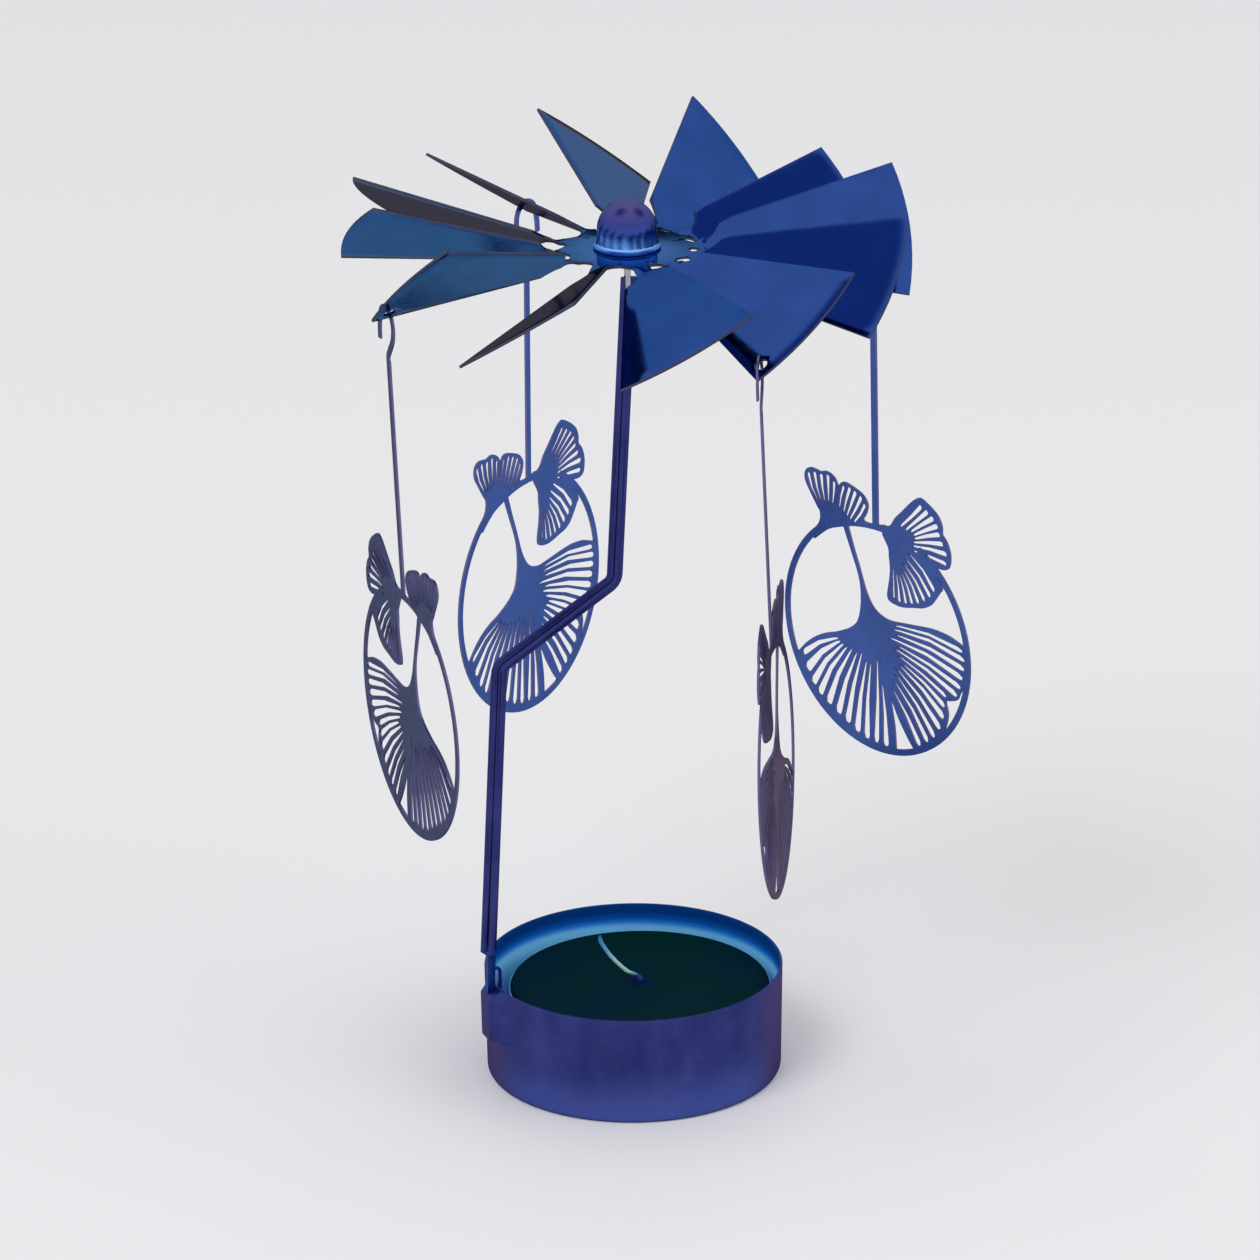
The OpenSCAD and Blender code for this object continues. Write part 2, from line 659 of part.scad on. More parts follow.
module large_leaf() {
    leaf(
        concat(
            on_grid(large_left_shares),
            band_arc(large_left_shares[len(large_left_shares) - 1], large_cleft_shares[0],
                2 * arc_steps),
            on_grid(large_cleft_shares),
            band_arc(large_cleft_shares[len(large_cleft_shares) - 1], large_right_shares[0],
                arc_steps / 2),
            on_grid(large_right_shares),
            band_arc(large_right_shares[len(large_right_shares) - 1], large_top_shares[0],
                arc_steps / 2),
            on_grid(large_top_shares)
        ),
        large_slot_shares, large_slot_reach_share);
}

module ring_band() {
    reach = 2 * ring_radius;
    difference() {
        circle(r = ring_radius, $fn = round_fn);
        circle(r = ring_radius - band_width, $fn = round_fn);
        polygon([
            [0, 0],
            reach * [cos(ring_gap_from), sin(ring_gap_from)],
            reach * [0, 1],
            reach * [cos(ring_gap_to), sin(ring_gap_to)]
        ]);
    }
}

hook_centre = [0, hook_height];
hook_path = smooth_open([for (p = hook_shares) hook_centre + p * hook_radius], smooth_steps);
hanger_bottom = hanger_bottom_share * grid;
hanger_top = hook_centre[1] + (hook_shares[0][1] + hook_shares[1][1]) / 2 * hook_radius;

module ring_sheet() {
    etched() ring_band();
    etched() leaf(on_grid(small_leaf_shares), small_slot_shares);
    etched() leaf(on_grid(medium_leaf_shares), medium_slot_shares);
    etched() large_leaf();
    etched() translate([-hanger_width / 2, hanger_bottom])
        square([hanger_width, hanger_top - hanger_bottom]);
    etched() polygon(strip_outline(hook_path, hook_width));
}
module etched() {
    translate([0, 0, -sheet_thickness / 2])
        linear_extrude(sheet_thickness)
            children();
}

// How each sheet hangs in its hole, front, right, back and left: the direction in which the
// artwork's right-hand side points, its lean across its plane and its roll in it, in degrees,
// and the point of the hook that lies in the hole, in shares of the hook's radius
sheet_azimuths = [-98.5, -45, 56.5, 112.5];
sheet_leans = [2.4, 2.3, -1.2, -1.3];
sheet_rolls = [1.2, -1, -2.3, -3];
sheet_hang_shares = [[-0.93, 0.3], [-0.6, 0.8], [-0.54, 0.84], [-0.54, 0.84]];

module pendant(i) {
    held = hook_centre + sheet_hang_shares[i] * hook_radius;
    color(ring_colour)
        translate(on_blade(hang_hole_flat, hang_blades[i]))
            rotate([0, 0, sheet_azimuths[i]])
                rotate([90 + sheet_leans[i], 0, 0])
                    rotate([0, 0, sheet_rolls[i]])
                        translate([-held[0], -held[1], 0])
                            ring_sheet();
}

module pendant_front() { pendant(0); }
module pendant_right() { pendant(1); }
module pendant_back() { pendant(2); }
module pendant_left() { pendant(3); }

// Tealight

tealight_radius = cup_inner_radius - tealight_room;
tealight_floor = cup_wall + seat_gap;
wax_top_height = tealight_floor + tealight_height;
wax_radius = tealight_radius - tealight_wall - seat_gap;
wick_radius = wick_diameter / 2;
sustainer_height = 3 * wick_diameter;
// Clearance of the sustainer and the wick in the wax
cast_gap = seat_gap;

module at_tealight() {
    translate([tealight_offset, 0, 0])
        children();
}

module tealight_cup() {
    inner_radius = tealight_radius - tealight_wall;
    corner = 2 * tealight_wall;
    color("silver") at_tealight() rotate_extrude($fn = round_fn)
        polygon(concat(
            [[0, tealight_floor]],
            arc([tealight_radius - corner, tealight_floor + corner], corner, -90, 0),
            [[tealight_radius, wax_top_height - wax_edge_radius],
                [inner_radius, wax_top_height - wax_edge_radius]],
            arc([tealight_radius - corner, tealight_floor + corner], corner - tealight_wall, 0, -90),
            [[0, tealight_floor + tealight_wall]]
        ));
}

wax_bottom_height = tealight_floor + tealight_wall + seat_gap;
sustainer_bottom_height = wax_bottom_height;

module wax() {
    tube_radius = wick_radius + sustainer_wall + cast_gap;
    corner = 2 * tealight_wall;
    color(wax_colour) at_tealight() rotate_extrude($fn = round_fn)
        polygon(concat(
            [[tube_radius, sustainer_bottom_height + sustainer_wall + cast_gap],
                [sustainer_radius + cast_gap, sustainer_bottom_height + sustainer_wall + cast_gap],
                [sustainer_radius + cast_gap, wax_bottom_height],
                [wax_radius - corner, wax_bottom_height],
                [wax_radius, wax_bottom_height + corner]],
            arc([wax_radius - wax_edge_radius, wax_top_height - wax_edge_radius],
                wax_edge_radius, 0, 90),
            [[wick_radius + cast_gap, wax_top_height],
                [wick_radius + cast_gap, sustainer_bottom_height + sustainer_height + cast_gap],
                [tube_radius, sustainer_bottom_height + sustainer_height + cast_gap]]
        ));
}

module wick_sustainer() {
    color("silver") at_tealight() rotate_extrude($fn = small_fn)
        polygon([
            [wick_radius + seat_gap, sustainer_bottom_height],
            [sustainer_radius, sustainer_bottom_height],
            [sustainer_radius, sustainer_bottom_height + sustainer_wall],
            [wick_radius + sustainer_wall, sustainer_bottom_height + sustainer_wall],
            [wick_radius + sustainer_wall, sustainer_bottom_height + sustainer_height],
            [wick_radius + seat_gap, sustainer_bottom_height + sustainer_height]
        ]);
}

// The wick bends to the left above the wax: shares of its height, sideways and up
wick_shares = [[0, 0.05], [-0.07, 0.12], [-0.27, 0.225], [-0.57, 0.53], [-0.78, 0.86], [-0.8, 1]];
wick_sides = 8;

function ring_of(centre, along) =
    let (
        side = unit([along[2], 0, -along[0]])
    )
    [for (j = [0:wick_sides - 1])
        centre + wick_radius * (side * cos(360 * j / wick_sides)
            + [0, sin(360 * j / wick_sides), 0])];

module wick() {
    foot = sustainer_bottom_height + seat_gap;
    bend = smooth_open([for (p = concat([[0, 0]], wick_shares))
        [p[0], 0, p[1]] * wick_height + [0, 0, wax_top_height]], smooth_steps);
    rings = len(bend);
    color(wick_colour) at_tealight() {
        translate([0, 0, foot])
            cylinder(r = wick_radius, h = wax_top_height - foot, $fn = small_fn);
        polyhedron(
            points = [for (i = [0:rings - 1])
                each ring_of(bend[i], bend[min(i + 1, rings - 1)] - bend[max(i - 1, 0)])],
            faces = concat(
                [[for (j = [0:wick_sides - 1]) j]],
                [for (i = [0:rings - 2], j = [0:wick_sides - 1])
                    [wick_sides * i + j, wick_sides * (i + 1) + j,
                        wick_sides * (i + 1) + (j + 1) % wick_sides]],
                [for (i = [0:rings - 2], j = [0:wick_sides - 1])
                    [wick_sides * i + j, wick_sides * (i + 1) + (j + 1) % wick_sides,
                        wick_sides * i + (j + 1) % wick_sides]],
                [[for (j = [wick_sides - 1:-1:0]) wick_sides * (rings - 1) + j]]
            ));
    }
}

candle_cup();
stem();
pivot_needle();
rotor_fan();
dome_cap();
pendant_front();
pendant_right();
pendant_back();
pendant_left();
tealight_cup();
wax();
wick();
wick_sustainer();
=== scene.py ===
"""Looks of a candle carousel: a cup with a tealight, a bent stem, a rotor of twisted blades and
four etched leaf rings. Lengths are written in millimetres and turned into metres by MM."""

import math

import bmesh
import bpy
from mathutils import Matrix, Vector


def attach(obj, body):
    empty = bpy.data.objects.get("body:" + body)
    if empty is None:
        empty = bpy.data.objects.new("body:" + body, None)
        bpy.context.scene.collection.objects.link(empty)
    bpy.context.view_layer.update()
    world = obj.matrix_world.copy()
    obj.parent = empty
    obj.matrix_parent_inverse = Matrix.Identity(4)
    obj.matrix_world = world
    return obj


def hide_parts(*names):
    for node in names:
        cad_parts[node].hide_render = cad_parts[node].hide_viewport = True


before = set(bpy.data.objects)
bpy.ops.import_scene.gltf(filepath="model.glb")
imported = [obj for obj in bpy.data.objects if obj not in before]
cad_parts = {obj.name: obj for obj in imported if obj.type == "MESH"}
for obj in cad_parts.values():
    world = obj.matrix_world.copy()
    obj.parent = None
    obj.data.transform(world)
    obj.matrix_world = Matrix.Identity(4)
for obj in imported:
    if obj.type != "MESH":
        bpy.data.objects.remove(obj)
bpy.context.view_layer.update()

MM = 0.001

# Camera, fitted to the photograph: pixels are those of its 1260 x 1260 frame
PHOTO_PX = 1260
FOCAL_PX = 7042.5
CENTRE_PX = 629
CAMERA_AIM = Vector((-0.214, 0, 67.047)) * MM
CAMERA_DISTANCE = 997.28 * MM
CAMERA_ELEVATION = math.radians(20.776)
CAMERA_ROLL = math.radians(-0.509)
SENSOR_MM = 36


def linked(name, data):
    """A new object in the scene."""
    made = bpy.data.objects.new(name, data)
    bpy.context.scene.collection.objects.link(made)
    return made


def make_camera():
    data = bpy.data.cameras.new("camera")
    data.sensor_width = SENSOR_MM
    data.lens = FOCAL_PX / PHOTO_PX * SENSOR_MM
    data.shift_x = (PHOTO_PX / 2 - CENTRE_PX) / PHOTO_PX
    data.clip_start = 10 * MM
    data.clip_end = 20
    camera = linked("camera", data)
    ahead = Vector((0, math.cos(CAMERA_ELEVATION), -math.sin(CAMERA_ELEVATION)))
    level = Vector((1, 0, 0))
    above = level.cross(ahead)
    right = level * math.cos(CAMERA_ROLL) + above * math.sin(CAMERA_ROLL)
    up = above * math.cos(CAMERA_ROLL) - level * math.sin(CAMERA_ROLL)
    turn = Matrix((right, up, -ahead)).transposed().to_4x4()
    camera.matrix_world = Matrix.Translation(CAMERA_AIM - ahead * CAMERA_DISTANCE) @ turn
    bpy.context.scene.camera = camera


make_camera()

# Sizes that the new meshes share with the CAD, in mm and degrees
CUP_RADIUS = 21.5
CUP_DRAFT = 0.25
CUP_HEIGHT = 16
CUP_WALL = 0.4
CUP_CORNER = 0.7
POCKET_REACH = 1.75
POCKET_HEIGHT = 8.4
POCKET_WIDTH = 4.6
TEALIGHT_RADIUS = 18.9
TEALIGHT_WALL = 0.2
TEALIGHT_OFFSET = 0.9
TEALIGHT_FLOOR = 0.42
WAX_TOP = 12.92
WAX_EDGE = 0.6
WICK_RADIUS = 0.45
WICK_HEIGHT = 7.1
# Points of the wick above the wax, sideways and up, as shares of its height
WICK_SHARES = ((0, 0), (0, 0.05), (-0.07, 0.12), (-0.27, 0.225), (-0.57, 0.53), (-0.78, 0.86),
               (-0.8, 1))
# Room between two parts that are set into each other
SEAT_GAP = 0.02
STEM_AZIMUTH = 203
STRIP_WIDTH = 2.3
STRIP_THICKNESS = 0.55
BEAD_WIDTH = 0.9
BEAD_DEPTH = 0.25
SHOULDER = (22.466, 21.6)
LOWER_BEND = (20.1, 64.6)
UPPER_BEND = (2.4, 74.9)
STRIP_TOP = (-0.2, 119.5)
BEND_RADII = (1.6, 2)
NEEDLE_RADIUS = 0.5
NEEDLE_SEAT = 6
NEEDLE_TIP = 130.24
ROTOR_RADIUS = 39.6
ROTOR_THICKNESS = 0.4
HUB_HEIGHT = 123.7
HUB_BORE = 3.4
NECK_WIDTH = 2.3
NECK_RADIUS = 10.4
TWIST_START = 9.2
SLIT_END = 13.6
CUT_WIDTH = 0.04
HANG_HOLE_RADIUS = 0.9
HANG_HOLE_REACH = 37.6
HANG_HOLE_ANGLE = -12
BLADE_COUNT = 12
FIRST_BLADE = 98
BLADE_TWISTS = (37, 53, 42, 47, 39, 36, 28, 33, 41, 36, 30, 34)
BLADE_LIFTS = (7, 6, -2, 3, 0, -4, -6, -2, 5, 10, 9, 0)
BLADE_TURNS = (-1, -2, -4, -3, 1, 1, 4, -1, 1, 3, 3, -4)
HANG_BLADES = (5, 2, 11, 8)
DOME_RADIUS = 4.2
DOME_WALL = 0.4
DOME_STRAIGHT = 2.6
DOME_FLANGE = 4.7
# The direction in which each leaf ring's sheet lies
SHEET_AZIMUTHS = {"pendant_front": -98.5, "pendant_right": -45, "pendant_back": 56.5,
                  "pendant_left": 112.5}
# Bevels of the cut sheets' edges, and the least angle of an edge that has one
SHEET_BEVEL = 0.06
LEAF_BEVEL = 0.05
BEVEL_ANGLE = 50


# Colours

def linear(red, green, blue):
    """A colour written in screen steps from 0 to 255, as the shader wants it."""
    def one(step):
        value = step / 255
        return value / 12.92 if value < 0.04045 else ((value + 0.055) / 1.055) ** 2.4
    return one(red), one(green), one(blue), 1


# Nodes

def cleared_tree(owner):
    """The node tree of a material or world, emptied."""
    owner.use_nodes = True
    tree = owner.node_tree
    for node in list(tree.nodes):
        tree.nodes.remove(node)
    return tree


def new_material(name):
    material = bpy.data.materials.new(name)
    return material, cleared_tree(material)


def link(tree, source, target):
    tree.links.new(source, target)


NOISE_ROUGHNESS = 0.55


def noise(tree, scale, detail=3, stretch=(1, 1, 1)):
    """Noise in the piece's own coordinates, scale in waves per millimetre."""
    spread = tree.nodes.new("ShaderNodeMapping")
    spread.inputs["Scale"].default_value = tuple(scale / MM * s for s in stretch)
    texture = tree.nodes.new("ShaderNodeTexNoise")
    texture.inputs["Scale"].default_value = 1
    texture.inputs["Detail"].default_value = detail
    texture.inputs["Roughness"].default_value = NOISE_ROUGHNESS
    link(tree, object_place(tree), spread.inputs["Vector"])
    link(tree, spread.outputs["Vector"], texture.inputs["Vector"])
    return texture.outputs["Fac"]


def ramp(tree, value, stops):
    """A colour ramp through (place, colour) stops."""
    node = tree.nodes.new("ShaderNodeValToRGB")
    elements = node.color_ramp.elements
    while len(elements) < len(stops):
        elements.new(0.5)
    for element, (place, colour) in zip(elements, stops):
        element.position = place
        element.color = colour
    link(tree, value, node.inputs["Fac"])
    return node.outputs["Color"]


def spread_value(tree, value, low, high, to_low, to_high, smooth=True):
    """A value between low and high, spread over another range and held at its ends."""
    node = tree.nodes.new("ShaderNodeMapRange")
    node.interpolation_type = "SMOOTHSTEP" if smooth else "LINEAR"
    limits = (("From Min", low), ("From Max", high), ("To Min", to_low), ("To Max", to_high))
    for name, number in limits:
        node.inputs[name].default_value = number
    link(tree, value, node.inputs["Value"])
    return node.outputs["Result"]


# The Mix node's sockets when it mixes colours, by their place in its lists
MIX_SHARE = 0
MIX_FIRST = 6
MIX_SECOND = 7
MIX_RESULT = 2


def mix_colour(tree, share, first, second):
    """A mix of two colours. Each value is a number, a colour or another node's output."""
    node = tree.nodes.new("ShaderNodeMix")
    node.data_type = "RGBA"
    for place, value in ((MIX_SHARE, share), (MIX_FIRST, first), (MIX_SECOND, second)):
        if isinstance(value, (tuple, float, int)):
            node.inputs[place].default_value = value
        else:
            link(tree, value, node.inputs[place])
    return node.outputs[MIX_RESULT]


def object_place(tree):
    return tree.nodes.new("ShaderNodeTexCoord").outputs["Object"]


def vector_math(tree, operation, vector, other=None):
    """A Vector Math node, fed with a vector and, if given, a fixed second one."""
    node = tree.nodes.new("ShaderNodeVectorMath")
    node.operation = operation
    if other is not None:
        node.inputs[1].default_value = other
    link(tree, vector, node.inputs[0])
    return node


def height_of(tree):
    """The piece's own height above the table, in metres."""
    split = tree.nodes.new("ShaderNodeSeparateXYZ")
    link(tree, object_place(tree), split.inputs["Vector"])
    return split.outputs["Z"]


def bump(tree, value, depth):
    """A normal bent by a value, depth in millimetres."""
    node = tree.nodes.new("ShaderNodeBump")
    node.inputs["Strength"].default_value = 1
    node.inputs["Distance"].default_value = depth * MM
    link(tree, value, node.inputs["Height"])
    return node.outputs["Normal"]


# Materials

# The lacquer's clouds: waves per millimetre, and the share by which they darken and brighten
CLOUD_WAVE = 0.15
CLOUD_SHARE = 0.1
# The values between which a noise mostly lies
NOISE_LOW = 0.3
NOISE_HIGH = 0.7
# How the lacquered metal's gloss is tinted at a low angle
EDGE_TINT = (0.45, 0.54, 0.58, 1)


def two_tones(tree, wave, first, second):
    return ramp(tree, noise(tree, wave), ((NOISE_LOW, first), (NOISE_HIGH, second)))


def clouded(colour):
    """A cloudy colour for a material."""
    dim = tuple(c * (1 - CLOUD_SHARE) for c in colour[:3]) + (1,)
    bright = tuple(c * (1 + CLOUD_SHARE) for c in colour[:3]) + (1,)
    return lambda tree: two_tones(tree, CLOUD_WAVE, dim, bright)


def lacquered(name, colour_from, low_colour, roughness, ripple=0.0, low_from=0.72, low_to=0.84):
    """Coloured metal, and the duller gloss that it has at a low angle."""
    material, tree = new_material(name)
    body = tree.nodes.new("ShaderNodeBsdfPrincipled")
    body.inputs["Metallic"].default_value = 1
    body.inputs["Specular Tint"].default_value = EDGE_TINT
    link(tree, colour_from(tree), body.inputs["Base Color"])
    grain = spread_value(tree, noise(tree, 6 * CLOUD_WAVE), NOISE_LOW, NOISE_HIGH,
                         roughness * 0.8, roughness * 1.25)
    link(tree, grain, body.inputs["Roughness"])
    low = tree.nodes.new("ShaderNodeBsdfAnisotropic")
    low.inputs["Color"].default_value = low_colour
    low.inputs["Roughness"].default_value = roughness
    if ripple:
        normal = bump(tree, noise(tree, 2 * CLOUD_WAVE), ripple)
        link(tree, normal, body.inputs["Normal"])
        link(tree, normal, low.inputs["Normal"])
    sight = tree.nodes.new("ShaderNodeLayerWeight")
    sight.inputs["Blend"].default_value = 0.5
    share = spread_value(tree, sight.outputs["Facing"], low_from, low_to, 0, 1)
    both = tree.nodes.new("ShaderNodeMixShader")
    link(tree, share, both.inputs["Fac"])
    link(tree, body.outputs["BSDF"], both.inputs[1])
    link(tree, low.outputs["BSDF"], both.inputs[2])
    out = tree.nodes.new("ShaderNodeOutputMaterial")
    link(tree, both.outputs["Shader"], out.inputs["Surface"])
    return material


def plain(name, colour_from, roughness, metallic=0.0, ripple=0.0, wave=0.4, ior=1.5):
    """One Principled surface whose colour comes from nodes."""
    material, tree = new_material(name)
    body = tree.nodes.new("ShaderNodeBsdfPrincipled")
    body.inputs["Metallic"].default_value = metallic
    body.inputs["Roughness"].default_value = roughness
    body.inputs["IOR"].default_value = ior
    link(tree, colour_from(tree), body.inputs["Base Color"])
    if ripple:
        link(tree, bump(tree, noise(tree, wave), ripple), body.inputs["Normal"])
    out = tree.nodes.new("ShaderNodeOutputMaterial")
    link(tree, body.outputs["BSDF"], out.inputs["Surface"])
    return material


def by_height(tree, low, high, stops):
    """A ramp between two heights in millimetres."""
    height = spread_value(tree, height_of(tree), low * MM, high * MM, 0, 1, smooth=False)
    return ramp(tree, height, stops)


def cup_outside_colour_and_painted_foot_light(tree):
    """Clouded and streaked, and brighter towards the foot: painted light that stands in for a
    brighter reflection there.
    """
    clouds = noise(tree, 0.09, detail=4)
    streaks = noise(tree, 0.25, detail=5, stretch=(1, 1, 0.35))
    base = ramp(tree, clouds, ((0.32, linear(42, 46, 106)), (0.55, linear(53, 61, 126)),
                               (0.7, linear(68, 70, 134))))
    worn = ramp(tree, streaks, ((0.35, linear(42, 48, 110)), (0.75, linear(70, 80, 144))))
    # Painted light: the colour pales towards the foot, a painted reflection of a brighter floor
    low = spread_value(tree, height_of(tree), 0, 9 * MM, 0.8, 0)
    return mix_colour(tree, low, mix_colour(tree, 0.35, base, worn), linear(82, 98, 178))


def cup_inside_colour_and_painted_gap_light(tree):
    """Dark blue below the rim, and painted light in the gap about the tealight: a pale, bright blue
    low on the wall, where the gap's shade falls.
    """
    # Painted light: the pale stops low on the wall, in the shaded gap about the tealight
    return by_height(tree, 11, 16, (
        (0, linear(140, 225, 255)), (0.28, linear(126, 214, 255)), (0.42, linear(44, 140, 232)),
        (0.55, linear(8, 92, 184)), (0.75, linear(0, 62, 138)), (1, linear(0, 62, 134))))


def dome_colour_and_painted_reflection(tree):
    """Violet at the top, over a painted reflection: a bright blue band on the foot, a little darker
    on the flange.
    """
    # Painted reflection: the bright blue stops over the foot and the flange
    return by_height(tree, 123.9, 130.9, (
        (0, linear(72, 116, 200)), (0.07, linear(84, 132, 216)), (0.11, linear(136, 190, 255)),
        (0.2, linear(100, 160, 244)), (0.36, linear(50, 88, 172)),
        (0.6, linear(56, 64, 138)), (1, linear(92, 82, 136))))


def blade_colour_with_painted_hub_light(outside, hub):
    """The blades' cloudy colour, which pales towards the hub: painted light on the hub and the
    necks.
    """
    def colour_from(tree):
        level = vector_math(tree, "MULTIPLY", object_place(tree), (1, 1, 0))
        reach = vector_math(tree, "LENGTH", level.outputs["Vector"])
        # Painted light: paler within 12 mm of the axis, over the hub and the necks
        near = spread_value(tree, reach.outputs["Value"], 5 * MM, 12 * MM, 1, 0)
        return mix_colour(tree, near, clouded(outside)(tree), hub)
    return colour_from


def stem_colour(tree):
    """Dark violet, and bluer just above the cup."""
    clouds = two_tones(tree, CLOUD_WAVE, linear(44, 48, 104), linear(60, 62, 124))
    low = spread_value(tree, height_of(tree), 17 * MM, 24 * MM, 0.75, 0)
    return mix_colour(tree, low, clouds, linear(44, 104, 190))


def metal_tones(first, second):
    return lambda tree: two_tones(tree, 0.5, first, second)


def wick_colour(tree):
    """Dark at the foot, pale above it, and burnt at the tip."""
    return by_height(tree, 13, 20.2, (
        (0, linear(12, 34, 96)), (0.13, linear(22, 64, 130)), (0.2, linear(150, 214, 206)),
        (0.45, linear(160, 216, 214)), (0.65, linear(96, 176, 226)), (0.9, linear(60, 136, 214)),
        (1, linear(26, 60, 130))))


def wax_colour(tree):
    """Dark teal, and darker about the wick's foot."""
    base = ramp(tree, noise(tree, 0.05, detail=1), (
        (0.35, linear(1, 34, 50)), (0.65, linear(1, 38, 38))))
    foot = (TEALIGHT_OFFSET * MM, 0, WAX_TOP * MM)
    away = vector_math(tree, "DISTANCE", object_place(tree), foot)
    darker_near_wick = spread_value(tree, away.outputs["Value"], 0.7 * MM, 2.6 * MM, 0.85, 0)
    return mix_colour(tree, darker_near_wick, base, linear(6, 20, 74))


GRAZING_GREY = linear(63, 62, 74)
CUT_EDGE = linear(72, 72, 92)
LEAF_EDGE = linear(104, 98, 142)
# The second colour is the painted light on the hub
BLADE_TOP = blade_colour_with_painted_hub_light(linear(46, 74, 143), linear(64, 102, 166))
STEEL_TONES = metal_tones(linear(150, 152, 158), linear(180, 182, 188))
TEALIGHT_TONES = metal_tones(linear(98, 172, 234), linear(116, 190, 244))
# Each material's colour, its colour at a low angle, its roughness and what else it has
LACQUERED = {
    "blade_top": (BLADE_TOP, GRAZING_GREY, 0.13, {}),
    # Painted light: the undersides are lighter than the tops, to make up for the darker floor that
    # they reflect
    "blade_under_painted_light": (clouded(linear(56, 90, 146)), GRAZING_GREY, 0.15, {}),
    "cut_edge": (clouded(CUT_EDGE), CUT_EDGE, 0.35, {}),
    "dome": (dome_colour_and_painted_reflection, linear(80, 72, 118), 0.24, {}),
    "stem": (stem_colour, linear(88, 76, 124), 0.22, {"low_from": 0.5}),
    "leaf_front": (clouded(linear(70, 94, 162)), linear(112, 100, 142), 0.25, {}),
    "leaf_back": (clouded(linear(84, 80, 116)), linear(104, 90, 112), 0.3, {}),
    "leaf_edge": (clouded(LEAF_EDGE), LEAF_EDGE, 0.35, {}),
    "cup_outside": (cup_outside_colour_and_painted_foot_light, linear(84, 72, 122), 0.36,
                    {"ripple": 0.01, "low_from": 0.35, "low_to": 0.8}),
}
# Each material's colour, its roughness and what else it has
PLAIN = {
    "cup_inside": (cup_inside_colour_and_painted_gap_light, 0.5, {"ripple": 0.01, "ior": 1.12}),
    "steel": (STEEL_TONES, 0.25, {"metallic": 1.0}),
    "tealight_metal": (TEALIGHT_TONES, 0.35, {"metallic": 1.0}),
    "wax": (wax_colour, 0.5, {"ripple": 0.02, "wave": 0.12, "ior": 1.03}),
    "wick": (wick_colour, 0.8, {"ripple": 0.05, "wave": 1.6}),
}
MATERIALS = {name: lacquered(name, colour_from, low_colour, roughness, **more)
             for name, (colour_from, low_colour, roughness, more) in LACQUERED.items()}
MATERIALS.update({name: plain(name, colour_from, roughness, **more)
                  for name, (colour_from, roughness, more) in PLAIN.items()})


# Meshes

def add_piece(name, mesh, body, node, materials):
    """A piece that stands for a CAD node and rides on a body."""
    piece = linked(name, mesh)
    mesh.materials.clear()
    for key in materials:
        mesh.materials.append(MATERIALS[key])
    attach(piece, body)
    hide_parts(node)
    return piece


def smooth_by_angle(mesh, degrees):
    mesh.shade_smooth()
    mesh.set_sharp_from_angle(angle=math.radians(degrees))


def mesh_from(name, verts, faces, weld=False):
    """A mesh from points in millimetres."""
    mesh = bpy.data.meshes.new(name)
    mesh.from_pydata([Vector(v) * MM for v in verts], [], faces)
    work = bmesh.new()
    work.from_mesh(mesh)
    if weld:
        bmesh.ops.remove_doubles(work, verts=work.verts, dist=0.005 * MM)
    bmesh.ops.recalc_face_normals(work, faces=work.faces)
    work.to_mesh(mesh)
    work.free()
    return mesh


def apply_modifiers(piece):
    """Leaves the modifiers' result as the piece's own mesh."""
    graph = bpy.context.evaluated_depsgraph_get()
    made = bpy.data.meshes.new_from_object(piece.evaluated_get(graph), depsgraph=graph)
    old = piece.data
    piece.modifiers.clear()
    piece.data = made
    bpy.data.meshes.remove(old)


def bevel(piece, width, segments=2):
    """Rounds the sharp edges."""
    edge = piece.modifiers.new("bevel", "BEVEL")
    edge.width = width * MM
    edge.segments = segments
    edge.limit_method = "ANGLE"
    edge.angle_limit = math.radians(BEVEL_ANGLE)
    edge.use_clamp_overlap = True
    apply_modifiers(piece)


def lathe(name, profile, steps=192, offset=0.0):
    """A closed profile of (radius, height) points turned about an upright axis."""
    verts = []
    for i in range(steps):
        angle = 2 * math.pi * i / steps
        for radius, height in profile:
            verts.append((offset + radius * math.cos(angle), radius * math.sin(angle), height))
    count = len(profile)
    faces = []
    for i in range(steps):
        for j in range(count):
            a, b = i * count + j, i * count + (j + 1) % count
            c, d = (i + 1) % steps * count + (j + 1) % count, (i + 1) % steps * count + j
            faces.append((a, b, c, d))
    return mesh_from(name, verts, faces, weld=True)


def arc(centre, radius, start, end, steps):
    """Points of an arc between two angles in degrees."""
    points = []
    for i in range(steps + 1):
        angle = math.radians(start + (end - start) * i / steps)
        points.append((centre[0] + radius * math.cos(angle), centre[1] + radius * math.sin(angle)))
    return points


def ease(value):
    """A smooth step from 0 to 1."""
    value = min(max(value, 0), 1)
    return value * value * (3 - 2 * value)


def turned(point, axis, degrees):
    return Matrix.Rotation(math.radians(degrees), 3, axis) @ Vector(point)


def heading(path, i):
    """The direction of a path at its point i."""
    return (path[min(i + 1, len(path) - 1)] - path[max(i - 1, 0)]).normalized()


def tube_faces(rings, count):
    """Faces of a tube that runs through rings of count points each, with its two ends."""
    faces = []
    for i in range(rings - 1):
        for j in range(count):
            a, b = i * count + j, i * count + (j + 1) % count
            faces.append((a, b, b + count, a + count))
    faces.append(tuple(range(count)))
    faces.append(tuple(reversed(range((rings - 1) * count, rings * count))))
    return faces


def combine(piece, others, operation):
    """Joins other closed solids to a piece, or cuts them out of it."""
    for other in others:
        step = piece.modifiers.new("combine", "BOOLEAN")
        step.operation = operation
        step.solver = "EXACT"
        step.object = other
    apply_modifiers(piece)
    for other in others:
        bpy.data.objects.remove(other)


ROD_SIDES = 48


